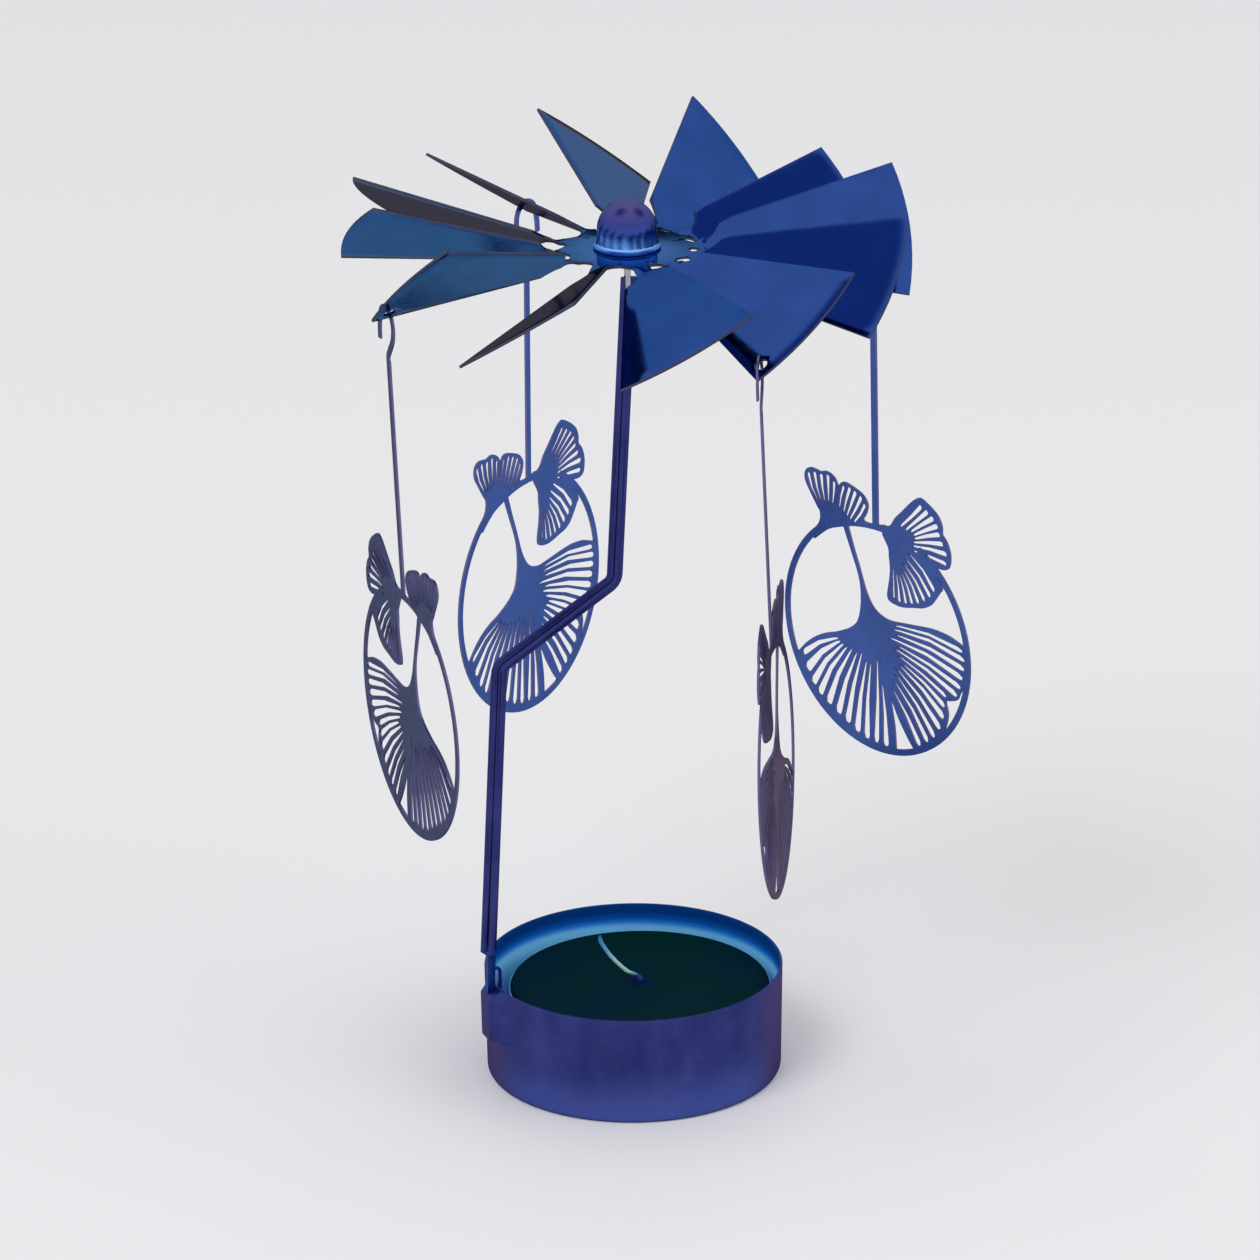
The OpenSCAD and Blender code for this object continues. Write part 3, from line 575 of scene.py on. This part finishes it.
def rod(middle, along, radius, length):
    """A round rod about a point, in millimetres."""
    mesh = bpy.data.meshes.new("rod")
    work = bmesh.new()
    bmesh.ops.create_cone(work, cap_ends=True, segments=ROD_SIDES, radius1=radius * MM,
                          radius2=radius * MM, depth=length * MM)
    work.to_mesh(mesh)
    work.free()
    made = linked("rod", mesh)
    turn = along.to_track_quat("Z", "Y").to_matrix().to_4x4()
    made.matrix_world = Matrix.Translation(middle * MM) @ turn
    return made


# Rotor: one sheet, from the hub's bore over the twisted necks to the blades' rims

COLUMNS = 10
NECK_ROWS = 10
ROOT_ROWS = 6
BLADE_ROWS = 12
HUB_EDGE = 8.6
FLARE_END = 9.6
HUB_RINGS = (HUB_BORE, 4.7, 6.5, HUB_EDGE)
FLARE_STEPS = (0.03, 0.1, 0.2, 0.35, 0.55, 0.75)
# Length over which the rows past the hub straighten
BOW_LENGTH = 1.6
# How much of the root's widening is even, and not faster towards its end
ROOT_EVEN = 0.4
# Length of the rods that cut the hanging holes
DRILL_LENGTH = 3
HALF_STEP = 180 / BLADE_COUNT
BLADE_HALF = HALF_STEP - math.degrees(CUT_WIDTH / 2 / ROTOR_RADIUS)
TWIST_END = 2 * NECK_RADIUS - TWIST_START
SLIT_REACH = SLIT_END * math.cos(math.radians(BLADE_HALF))
SLIT_SIDE = SLIT_END * math.sin(math.radians(BLADE_HALF))


def on_blade(k, reach, side):
    """A point of blade k's mid-surface, reach out along it and side across it."""
    share = ease((reach - TWIST_START) / (TWIST_END - TWIST_START))
    lift = math.radians(BLADE_LIFTS[k])
    across = turned((0, side, 0), "X", BLADE_TWISTS[k] * share)
    across = turned(across, "Y", -BLADE_LIFTS[k] * share)
    far = reach - NECK_RADIUS
    rise = far * math.sin(lift)
    if reach < TWIST_END:
        past = max(reach - TWIST_START, 0)
        rise = past ** 2 / (2 * (TWIST_END - TWIST_START)) * math.sin(lift)
    along = Vector((NECK_RADIUS + far * math.cos(lift * share), 0, rise))
    turn = BLADE_TURNS[k] * ease((reach - HUB_EDGE) / (FLARE_END - HUB_EDGE))
    azimuth = FIRST_BLADE - 360 / BLADE_COUNT * k + turn
    return turned(along + across, "Z", azimuth) + Vector((0, 0, HUB_HEIGHT))


def root_half_width(reach):
    """Half the width of the sheet between the hub and the closed slits."""
    neck_half = NECK_WIDTH / 2
    if reach < FLARE_END:
        hub_half = HUB_EDGE * math.sin(math.radians(HALF_STEP))
        left = 1 - (reach - HUB_EDGE) / (FLARE_END - HUB_EDGE)
        return neck_half + (hub_half - neck_half) * (1 - math.sqrt(1 - left ** 2))
    if reach < TWIST_END:
        return neck_half
    rise = (reach - TWIST_END) / (SLIT_REACH - TWIST_END)
    return neck_half + (SLIT_SIDE - neck_half) * (ROOT_EVEN * rise + (1 - ROOT_EVEN) * rise ** 2)


def on_circle(radius, half_angle, shares):
    angles = [math.radians(half_angle * s) for s in shares]
    return [(radius * math.cos(angle), radius * math.sin(angle)) for angle in angles]


def blade_rows():
    """Rows of (reach, side) pairs from the bore to the rim."""
    shares = [2 * j / COLUMNS - 1 for j in range(COLUMNS + 1)]
    rows = [on_circle(radius, HALF_STEP, shares) for radius in HUB_RINGS]
    hub_reach = HUB_EDGE * math.cos(math.radians(HALF_STEP))
    neck, root = TWIST_END - FLARE_END, SLIT_REACH - TWIST_END
    stations = [HUB_EDGE + step for step in FLARE_STEPS] + [FLARE_END]
    stations += [FLARE_END + neck * i / NECK_ROWS for i in range(1, NECK_ROWS + 1)]
    stations += [TWIST_END + root * i / ROOT_ROWS for i in range(1, ROOT_ROWS)]
    for reach in stations:
        # The first rows still bend round the hub, and the last ones round the blade's end
        bow = 1 - ease((reach - hub_reach) / BOW_LENGTH)
        belly = ease((reach - TWIST_END) / root)
        half = root_half_width(reach)
        row = []
        for s in shares:
            side = half * s
            curve = bow * (math.sqrt(reach ** 2 - side ** 2) - reach)
            curve += belly * (SLIT_END - SLIT_REACH) * math.cos(math.pi / 2 * s)
            row.append((reach + curve, side))
        rows.append(row)
    for i in range(BLADE_ROWS + 1):
        radius = SLIT_END + (ROTOR_RADIUS - SLIT_END) * i / BLADE_ROWS
        rows.append(on_circle(radius, BLADE_HALF, shares))
    return rows


def rotor_mesh():
    verts, faces = [], []
    rows = blade_rows()
    width = COLUMNS + 1
    for k in range(BLADE_COUNT):
        start = len(verts)
        for row in rows:
            verts += [on_blade(k, reach, side) for reach, side in row]
        for i in range(len(rows) - 1):
            for j in range(COLUMNS):
                a = start + i * width + j
                faces.append((a, a + width, a + width + 1, a + 1))
    return mesh_from("rotor", verts, faces, weld=True)


def hang_hole(k):
    """The middle of blade k's hanging hole, and the blade's normal there."""
    angle = math.radians(HANG_HOLE_ANGLE)
    reach, side = HANG_HOLE_REACH * math.cos(angle), HANG_HOLE_REACH * math.sin(angle)
    middle = on_blade(k, reach, side)
    normal = (on_blade(k, reach + 1, side) - middle).cross(on_blade(k, reach, side + 1) - middle)
    return middle, normal.normalized()


def face_up(mesh):
    """Turns a sheet's faces so that they look up."""
    if mesh.polygons[0].normal.z < 0:
        mesh.flip_normals()


def make_rotor():
    mesh = rotor_mesh()
    face_up(mesh)
    piece = add_piece("rotor_sheet", mesh, "rotor", "rotor_fan",
                      ["blade_top", "blade_under_painted_light", "cut_edge"])
    shell = piece.modifiers.new("shell", "SOLIDIFY")
    shell.thickness = ROTOR_THICKNESS * MM
    shell.offset = 0
    shell.use_even_offset = True
    shell.material_offset = 1
    shell.material_offset_rim = 2
    apply_modifiers(piece)
    drills = [rod(*hang_hole(k), HANG_HOLE_RADIUS, DRILL_LENGTH) for k in HANG_BLADES]
    combine(piece, drills, "DIFFERENCE")
    bevel(piece, SHEET_BEVEL)
    smooth_by_angle(piece.data, 40)


# Dome

def make_dome():
    base = HUB_HEIGHT + ROTOR_THICKNESS / 2
    spring = base + DOME_STRAIGHT
    inner = DOME_RADIUS - DOME_WALL
    fillet = 0.5
    edge = 0.1
    profile = [(inner, base), (DOME_FLANGE - edge, base), (DOME_FLANGE, base + edge),
               (DOME_FLANGE, base + DOME_WALL - edge), (DOME_FLANGE - edge, base + DOME_WALL)]
    profile += arc((DOME_RADIUS + fillet, base + DOME_WALL + fillet), fillet, 270, 180, 6)
    profile += arc((0, spring), DOME_RADIUS, 0, 90, 24)
    profile += arc((0, spring), inner, 90, 0, 24)
    mesh = lathe("dome", profile, 128)
    add_piece("dome_shell", mesh, "rotor", "dome_cap", ["dome"])
    smooth_by_angle(mesh, 40)


# Stem

def rounded_path(points, radii, steps=14):
    """A path through points whose corners are rounded."""
    path = [Vector(points[0])]
    for a, b, c, radius in zip(points, points[1:], points[2:], radii):
        a, b, c = Vector(a), Vector(b), Vector(c)
        back, on = (a - b).normalized(), (c - b).normalized()
        half = back.angle(on) / 2
        middle = b + (back + on).normalized() * radius / math.sin(half)
        first = b + back * radius / math.tan(half) - middle
        last = b + on * radius / math.tan(half) - middle
        start = math.atan2(first.y, first.x)
        sweep = (math.atan2(last.y, last.x) - start + math.pi) % (2 * math.pi) - math.pi
        for i in range(steps + 1):
            angle = start + sweep * i / steps
            path.append(middle + Vector((math.cos(angle), math.sin(angle))) * radius)
    path.append(Vector(points[-1]))
    return path


def on_stem(reach, through, height):
    """A point in the stem's plane, and how far it lies behind that plane."""
    angle = math.radians(STEM_AZIMUTH)
    outward = Vector((math.cos(angle), math.sin(angle), 0))
    behind = Vector((math.sin(angle), -math.cos(angle), 0))
    return outward * reach + behind * through + Vector((0, 0, height))


# Places across the strip's right half where its section has points
STRIP_PLACES = (0.09, 0.18, 0.27, 0.36, 0.45, 0.72, 1.03)
STRIP_ACROSS = [-x for x in reversed(STRIP_PLACES)] + [0] + list(STRIP_PLACES)
STRIP_ROUND = 0.12
# Length over which the bead runs out above the shoulder
BEAD_RUN_OUT = 2.2
BEAD_ROWS = 6
# Room of the tongue and the tab beside the cup's wall, and the tongue's part of the pocket's height
TONGUE_GAP = 0.06
TONGUE_SHARE = 0.75
# How far the tab hangs down inside the cup, and its width in walls
TAB_DROP = 2
TAB_WALLS = 1.1
# The bore for the needle goes this far past the strip's top
BORE_PAST_TOP = 4


def strip_section(depth):
    """The pressed strip's outline: (across, through) points, the front face first."""
    half, thick = STRIP_WIDTH / 2, STRIP_THICKNESS / 2

    def pressed(x):
        if abs(x) >= BEAD_WIDTH / 2:
            return 0
        return depth * (0.5 + 0.5 * math.cos(2 * math.pi * x / BEAD_WIDTH))

    front = [(x, pressed(x) - thick) for x in STRIP_ACROSS]
    back = [(x, pressed(x) + thick) for x in reversed(STRIP_ACROSS)]
    right = arc((half - STRIP_ROUND, STRIP_ROUND - thick), STRIP_ROUND, -60, 0, 2)
    right += arc((half - STRIP_ROUND, thick - STRIP_ROUND), STRIP_ROUND, 0, 60, 2)
    return front + right + back + [(-x, -t) for x, t in right]


def flat_plate(name, outline, thickness=STRIP_THICKNESS):
    """A plate in the stem's plane."""
    count = len(outline)
    verts = [on_stem(x, side * thickness / 2, z) for side in (-1, 1) for x, z in outline]
    faces = [tuple(range(count)), tuple(reversed(range(count, 2 * count)))]
    faces += [(i, i + count, (i + 1) % count + count, (i + 1) % count) for i in range(count)]
    return linked(name, mesh_from(name, verts, faces))


def tongue_plate():
    """The tongue below the strip, in the cup's pocket, up to the strip's shoulder."""
    inside = CUP_RADIUS + 2 * TONGUE_GAP
    outside = CUP_RADIUS + POCKET_REACH - CUP_WALL - TONGUE_GAP
    rim = CUP_HEIGHT + TONGUE_GAP
    bottom = CUP_HEIGHT - POCKET_HEIGHT * TONGUE_SHARE
    narrow = SHOULDER[1] - STRIP_WIDTH / 3
    right = SHOULDER[0] - STRIP_WIDTH / 2
    left = SHOULDER[0] + STRIP_WIDTH / 2
    overlap = SHOULDER[1] + 0.05
    nip, toe = 0.3, 0.1
    return flat_plate("tongue", [
        (inside, bottom + 2 * nip), (inside + nip, bottom + toe), (outside - nip, bottom),
        (outside, bottom + nip), (outside, rim), (CUP_RADIUS + STRIP_WIDTH / 2, narrow),
        (left, SHOULDER[1]), (left, overlap), (right, overlap), (right, SHOULDER[1]),
        (CUP_RADIUS, narrow), (inside, rim)])


def tab_plate():
    """The tab that curls over the rim to the inside."""
    width = CUP_WALL * TAB_WALLS
    inner = CUP_RADIUS - CUP_WALL - TONGUE_GAP - width / 2
    outer = CUP_RADIUS + 2 * TONGUE_GAP
    top = CUP_HEIGHT + (SHOULDER[1] - CUP_HEIGHT) / 2
    path = rounded_path([(inner, CUP_HEIGHT - TAB_DROP), (inner, top), (outer + width, top)],
                        [(outer - inner) / 2 + width / 2], 8)
    headings = [heading(path, i) for i in range(len(path))]
    sides = [Vector((ahead.y, -ahead.x)) * width / 2 for ahead in headings]
    outline = [tuple(p + side) for p, side in zip(path, sides)]
    outline += [tuple(p - side) for p, side in reversed(list(zip(path, sides)))]
    # A little thinner than the strip, so that no two faces lie in one plane
    return flat_plate("tab", outline, STRIP_THICKNESS * 0.98)


def make_stem():
    path = rounded_path([SHOULDER, LOWER_BEND, UPPER_BEND, STRIP_TOP], BEND_RADII)
    first = path[0]
    ahead = (path[1] - first).normalized()
    run_out = [first + ahead * BEAD_RUN_OUT * i / BEAD_ROWS for i in range(1, BEAD_ROWS + 1)]
    path = [first] + run_out + path[1:]
    verts = []
    for i, point in enumerate(path):
        ahead = heading(path, i)
        side = Vector((ahead.y, -ahead.x))
        section = strip_section(BEAD_DEPTH * ease((point - first).length / BEAD_RUN_OUT))
        for across, through in section:
            spot = point + side * across
            verts.append(on_stem(spot.x, through, spot.y))
    mesh = mesh_from("stem", verts, tube_faces(len(path), len(section)))
    piece = add_piece("stem_strip", mesh, "base", "stem", ["stem"])
    combine(piece, [tongue_plate(), tab_plate()], "UNION")
    up = Vector((0, 0, 1))
    bore = NEEDLE_SEAT + BORE_PAST_TOP
    middle = up * (STRIP_TOP[1] - NEEDLE_SEAT + bore / 2)
    combine(piece, [rod(middle, up, NEEDLE_RADIUS + SEAT_GAP, bore)], "DIFFERENCE")
    bevel(piece, SHEET_BEVEL)
    smooth_by_angle(piece.data, 45)


# Cup

# Each cup's floor starts at this small radius
FLOOR_START = 0.3
CORNER_STEPS = 10
WALL_ROWS = 40
# Degrees between the cup's upright edges and between those about the pocket, and how many of
# these there are to each side
CUP_STEP = 1.5
POCKET_STEP = 0.35
POCKET_STEPS = 32
# The slit in the pocket's top for the tongue: its lowest and highest cut, and its room
POCKET_SLIT_HEIGHTS = (14, 17)
POCKET_SLIT_ROOM = 0.03
POCKET_SLIT_SIDE_ROOM = 0.12
# The least cosines at which a face looks inwards, and up
INWARD = 0.3
UPWARD = 0.5
# The pocket's slanted top as a share of its reach, and the share of its width over which it fades
POCKET_SLANT = 0.8
POCKET_FADE = 0.75


def pocket_bulge(angle, height):
    """How far the wall is pressed out for the stem's tongue."""
    slant = POCKET_REACH * POCKET_SLANT
    low = (height - (CUP_HEIGHT - POCKET_HEIGHT)) / (slant / 2)
    high = (CUP_HEIGHT - height) / slant
    away = math.radians((angle - STEM_AZIMUTH + 180) % 360 - 180)
    across = (POCKET_WIDTH - abs(away) * CUP_RADIUS) / (POCKET_WIDTH * POCKET_FADE)
    return POCKET_REACH * ease(across) * ease(min(low, high))


def cup_profile(foot):
    """The cup's section as (radius, height) points, up its outside and down its inside."""
    straight = CUP_HEIGHT - CUP_CORNER - CUP_WALL / 2
    corner_middle = (foot - CUP_CORNER, CUP_CORNER)
    levels = [CUP_CORNER + straight * i / WALL_ROWS for i in range(WALL_ROWS + 1)]
    floor = [(FLOOR_START, 0), (foot - CUP_CORNER - 3, 0)]
    corner = arc(corner_middle, CUP_CORNER, -90, 0, CORNER_STEPS)[:-1]
    wall = [(foot + CUP_DRAFT * z / CUP_HEIGHT, z) for z in levels]
    rim_middle = (CUP_RADIUS - CUP_WALL / 2, CUP_HEIGHT - CUP_WALL / 2)
    rim = arc(rim_middle, CUP_WALL / 2, 0, 180, 8)[1:-1]
    inner = [(radius - CUP_WALL, z) for radius, z in reversed(wall)]
    inner += arc(corner_middle, CUP_CORNER - CUP_WALL, 0, -90, 8)[1:]
    return floor + corner + wall + rim + inner + [(FLOOR_START, CUP_WALL)]


def make_cup():
    foot = CUP_RADIUS - CUP_DRAFT
    profile = cup_profile(foot)
    coarse = {round(CUP_STEP * i, 3) for i in range(round(360 / CUP_STEP))}
    fine = {round(STEM_AZIMUTH + POCKET_STEP * i, 3)
            for i in range(-POCKET_STEPS, POCKET_STEPS + 1)}
    angles = sorted(coarse | fine)
    count = len(profile)
    verts = []
    for angle in angles:
        turn = math.radians(angle)
        for radius, z in profile:
            out = radius + (pocket_bulge(angle, z) if radius > foot - CUP_CORNER else 0)
            verts.append((out * math.cos(turn), out * math.sin(turn), z))
    faces = []
    for i in range(len(angles)):
        after = (i + 1) % len(angles)
        for j in range(count - 1):
            a, b = i * count + j, after * count + j
            faces.append((a, b, b + 1, a + 1))
    faces.append(tuple(i * count for i in range(len(angles))))
    faces.append(tuple(i * count + count - 1 for i in reversed(range(len(angles)))))
    mesh = mesh_from("cup", verts, faces)
    piece = add_piece("cup_shell", mesh, "base", "candle_cup",
                      ["cup_outside", "cup_inside"])
    for face in mesh.polygons:
        spot = Vector(face.center) / MM
        outward = Vector((spot.x, spot.y, 0)).normalized()
        on_wall = face.normal.dot(outward) < -INWARD
        on_floor = face.normal.z > UPWARD and spot.z < CUP_HEIGHT / 2
        face.material_index = 1 if spot.z > CUP_WALL / 2 and (on_wall or on_floor) else 0
    near = CUP_RADIUS + POCKET_SLIT_ROOM
    far = CUP_RADIUS + POCKET_REACH - CUP_WALL - POCKET_SLIT_ROOM
    low, high = POCKET_SLIT_HEIGHTS
    slit = [(near, low), (far, low), (far, high), (near, high)]
    cutter = flat_plate("slit", slit, STRIP_THICKNESS + POCKET_SLIT_SIDE_ROOM)
    combine(piece, [cutter], "DIFFERENCE")
    smooth_by_angle(piece.data, 38)


# Tealight

TEALIGHT_CORNER = 0.5
# The hollow in the wax about the wick's holder: its radius, and the tops of its two steps
HOLLOW_RADIUS = 5.8
HOLLOW_STEPS = (0.4, 3.2)
# A shallow dish that the wax melted to: where it starts inside the wall, its rows and its depth
DISH_START = 1.6
DISH_STEP = 1.1
DISH_ROWS = 12
DISH_DEPTH = 0.1
# The wax that creeps up the wick: radius, and height from the wax's top
WAX_CREEP = ((1.8, -0.08), (1.2, -0.03), (0.8, 0.06))


def make_tealight_cup():
    top = WAX_TOP - WAX_EDGE
    corner = TEALIGHT_CORNER
    corner_middle = (TEALIGHT_RADIUS - corner, TEALIGHT_FLOOR + corner)
    rim_middle = (TEALIGHT_RADIUS - TEALIGHT_WALL / 2, top - TEALIGHT_WALL / 2)
    profile = [(FLOOR_START, TEALIGHT_FLOOR)]
    profile += arc(corner_middle, corner, -90, 0, 6)
    profile += arc(rim_middle, TEALIGHT_WALL / 2, 0, 180, 6)
    profile += arc(corner_middle, corner - TEALIGHT_WALL, 0, -90, 6)
    profile += [(FLOOR_START, TEALIGHT_FLOOR + TEALIGHT_WALL)]
    mesh = lathe("tealight_cup", profile, offset=TEALIGHT_OFFSET)
    add_piece("tealight_shell", mesh, "tealight", "tealight_cup",
              ["tealight_metal"])
    smooth_by_angle(mesh, 40)


def make_wax():
    bottom = TEALIGHT_FLOOR + TEALIGHT_WALL + SEAT_GAP
    bore = WICK_RADIUS + SEAT_GAP
    radius = TEALIGHT_RADIUS - TEALIGHT_WALL - SEAT_GAP
    profile = [(HOLLOW_RADIUS, bottom), (radius - 0.4, bottom), (radius, bottom + 0.4)]
    profile += arc((radius - WAX_EDGE, WAX_TOP - WAX_EDGE), WAX_EDGE, 0, 90, 10)
    profile += [(radius - DISH_START - DISH_STEP * i, WAX_TOP - DISH_DEPTH * ease(i / 6))
                for i in range(DISH_ROWS + 1)]
    profile += [(out, WAX_TOP + rise) for out, rise in WAX_CREEP]
    profile += [(bore + 0.08, WAX_TOP + 0.16), (bore, WAX_TOP + 0.14),
                (bore, bottom + HOLLOW_STEPS[1]), (HOLLOW_RADIUS, bottom + HOLLOW_STEPS[0])]
    mesh = lathe("wax", profile, offset=TEALIGHT_OFFSET)
    add_piece("wax_disc", mesh, "tealight", "wax", ["wax"])
    smooth_by_angle(mesh, 40)


def smooth_open(points, steps):
    """A smooth curve through chosen points."""
    path = []
    last = len(points) - 1
    for i in range(last):
        a, b = points[max(i - 1, 0)], points[i]
        c, d = points[i + 1], points[min(i + 2, last)]
        for s in range(steps):
            t = s / steps
            path.append((2 * b + (c - a) * t + (2 * a - 5 * b + 4 * c - d) * t ** 2
                         + (3 * b - a - 3 * c + d) * t ** 3) / 2)
    path.append(points[last])
    return path


WICK_SIDES = 24
WICK_DEPTH = 11
# The burnt wick's share of its thickness, reached this far above the wax
BURNT_SHARE = 0.68
BURNT_OVER = 1.2
# Its tip's share of that, reached over the last bit
TIP_SHARE = 0.6
TIP_OVER = 0.5
# The braid: its depth, its strands and its turns along the wick, about its mean thickness
BRAID_DEPTH = 0.05
BRAID_STRANDS = 3
BRAID_TURNS = 5
BRAID_MEAN = 0.93


def make_wick():
    points = [Vector((x * WICK_HEIGHT, 0, WAX_TOP + z * WICK_HEIGHT)) for x, z in WICK_SHARES]
    path = [Vector((0, 0, WAX_TOP - WICK_DEPTH))] + smooth_open(points, 8)
    verts = []
    length = 0
    for i, point in enumerate(path):
        ahead = heading(path, i)
        across = Vector((ahead.z, 0, -ahead.x))
        length += (point - path[max(i - 1, 0)]).length
        left = (path[-1] - point).length
        whole = ease(1 - (point.z - WAX_TOP) / BURNT_OVER)
        taper = BURNT_SHARE + (1 - BURNT_SHARE) * whole
        taper *= TIP_SHARE + (1 - TIP_SHARE) * ease(left / TIP_OVER)
        for j in range(WICK_SIDES):
            angle = 2 * math.pi * j / WICK_SIDES
            # Strands run round the wick both ways
            one_way = math.cos(BRAID_STRANDS * angle + BRAID_TURNS * length)
            other_way = math.cos(BRAID_STRANDS * angle - BRAID_TURNS * length)
            braid = BRAID_DEPTH * (one_way + other_way) if point.z > WAX_TOP else 0
            radius = WICK_RADIUS * taper * (BRAID_MEAN + braid)
            around = across * math.cos(angle) + Vector((0, 1, 0)) * math.sin(angle)
            verts.append(point + around * radius + Vector((TEALIGHT_OFFSET, 0, 0)))
    mesh = mesh_from("wick", verts, tube_faces(len(path), WICK_SIDES))
    add_piece("wick_braid", mesh, "tealight", "wick", ["wick"])
    smooth_by_angle(mesh, 60)


# Needle and the wick's holder

# The needle's point: radius, and distance below the tip
NEEDLE_POINT = ((0.5, 2.3), (0.46, 2.05), (0.12, 0.2), (0.06, 0.04), (0.02, 0))
NEEDLE_BEVEL = 0.05


def make_needle():
    bottom = STRIP_TOP[1] - NEEDLE_SEAT + SEAT_GAP
    profile = [(0.02, bottom), (NEEDLE_RADIUS - NEEDLE_BEVEL, bottom),
               (NEEDLE_RADIUS, bottom + NEEDLE_BEVEL)]
    profile += [(radius, NEEDLE_TIP - below) for radius, below in NEEDLE_POINT]
    mesh = lathe("needle", profile, 48)
    add_piece("needle_pin", mesh, "base", "pivot_needle", ["steel"])
    smooth_by_angle(mesh, 50)


def dress_node(name, key):
    """A better material on a CAD node that stays."""
    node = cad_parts[name]
    for place in node.material_slots:
        place.link = "OBJECT"
        place.material = MATERIALS[key]


# Leaf rings: the etched sheets' own outlines, with rounded edges and two sides

# The least cosine at which a face lies in the sheet's front or back
SHEET_FACING = 0.7


def make_pendant(node):
    """The node's own sheet, cleaned and bevelled, with its front, back and edge told apart."""
    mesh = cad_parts[node].data.copy()
    work = bmesh.new()
    work.from_mesh(mesh)
    bmesh.ops.remove_doubles(work, verts=work.verts, dist=0.002 * MM)
    bmesh.ops.dissolve_limit(work, angle_limit=math.radians(1), verts=work.verts,
                             edges=work.edges)
    work.to_mesh(mesh)
    work.free()
    name = node.replace("pendant", "leaf_ring")
    piece = add_piece(name, mesh, node, node,
                      ["leaf_front", "leaf_back", "leaf_edge"])
    angle = math.radians(SHEET_AZIMUTHS[node])
    front = Vector((math.sin(angle), -math.cos(angle), 0))
    for face in mesh.polygons:
        facing = face.normal.dot(front)
        face.material_index = 0 if facing > SHEET_FACING else 1 if facing < -SHEET_FACING else 2
    bevel(piece, LEAF_BEVEL, segments=1)
    smooth_by_angle(piece.data, 30)


make_rotor()
make_dome()
make_needle()
make_stem()
make_cup()
make_tealight_cup()
make_wax()
make_wick()
dress_node("wick_sustainer", "steel")
for pendant in SHEET_AZIMUTHS:
    make_pendant(pendant)


# Floor, light and surroundings

FLOOR_COLOUR = (0.84, 0.84, 0.86, 1)
FLOOR_HALF = 4000
# Place in metres, size and power of each lamp, and the point they look at
LAMPS = {"key": ((-0.9, -1.1, 1.6), 1.2, 14), "fill": ((1.3, -0.6, 0.9), 1.2, 5)}
LAMP_TARGET = Vector((0, 0, 0.06))
# The world's strength as a light
SOFT_LIGHT = 0.7


def make_floor():
    material, tree = new_material("floor")
    body = tree.nodes.new("ShaderNodeBsdfPrincipled")
    body.inputs["Roughness"].default_value = 0.9
    body.inputs["Base Color"].default_value = FLOOR_COLOUR
    out = tree.nodes.new("ShaderNodeOutputMaterial")
    link(tree, body.outputs["BSDF"], out.inputs["Surface"])
    corners = [(x * FLOOR_HALF, y * FLOOR_HALF, 0) for x, y in ((-1, -1), (1, -1), (1, 1), (-1, 1))]
    mesh = mesh_from("floor", corners, [(0, 1, 2, 3)])
    face_up(mesh)
    floor = linked("floor", mesh)
    mesh.materials.append(material)


def make_lamp(name, place, size, power):
    data = bpy.data.lights.new(name, "AREA")
    data.shape = "DISK"
    data.size = size
    data.energy = power
    lamp = linked(name, data)
    lamp.location = place
    lamp.rotation_euler = (LAMP_TARGET - Vector(place)).to_track_quat("-Z", "Y").to_euler()
    lamp.visible_glossy = False
    lamp.visible_camera = False


# Azimuth and elevation of the studio's dark flags, the cosines between which a flag's edge
# fades, and its colour
FLAGS = ((178, 70), (15, 52))
FLAG_EDGE = (0.93, 0.985)
FLAG_COLOUR = (0.16, 0.27, 0.52, 1)


def make_world():
    world = bpy.data.worlds.new("studio")
    bpy.context.scene.world = world
    tree = cleared_tree(world)
    soft = tree.nodes.new("ShaderNodeBackground")
    soft.inputs["Color"].default_value = (1, 1, 1, 1)
    soft.inputs["Strength"].default_value = SOFT_LIGHT
    white = tree.nodes.new("ShaderNodeBackground")
    white.inputs["Strength"].default_value = 1
    path = tree.nodes.new("ShaderNodeLightPath")
    # Two dark flags in the studio, which only the metal's reflections show
    ahead = tree.nodes.new("ShaderNodeTexCoord")
    shade = (1, 1, 1, 1)
    for azimuth, elevation in FLAGS:
        turn, rise = math.radians(azimuth), math.radians(elevation)
        middle = (math.cos(rise) * math.cos(turn), math.cos(rise) * math.sin(turn), math.sin(rise))
        near = vector_math(tree, "DOT_PRODUCT", ahead.outputs["Generated"], middle)
        inside = spread_value(tree, near.outputs["Value"], *FLAG_EDGE, 0, 1)
        shade = mix_colour(tree, inside, shade, FLAG_COLOUR)
    mirrored = mix_colour(tree, path.outputs["Is Glossy Ray"], (1, 1, 1, 1), shade)
    link(tree, mirrored, white.inputs["Color"])
    seen = path.outputs["Is Camera Ray"]
    for ray in ("Is Glossy Ray", "Is Transmission Ray"):
        either = tree.nodes.new("ShaderNodeMath")
        either.operation = "MAXIMUM"
        link(tree, seen, either.inputs[0])
        link(tree, path.outputs[ray], either.inputs[1])
        seen = either.outputs["Value"]
    both = tree.nodes.new("ShaderNodeMixShader")
    link(tree, seen, both.inputs["Fac"])
    link(tree, soft.outputs["Background"], both.inputs[1])
    link(tree, white.outputs["Background"], both.inputs[2])
    out = tree.nodes.new("ShaderNodeOutputWorld")
    link(tree, both.outputs["Shader"], out.inputs["Surface"])


make_floor()
for lamp_name, (lamp_place, lamp_size, lamp_power) in LAMPS.items():
    make_lamp(lamp_name, lamp_place, lamp_size, lamp_power)
make_world()
bpy.context.scene.view_settings.view_transform = "Standard"
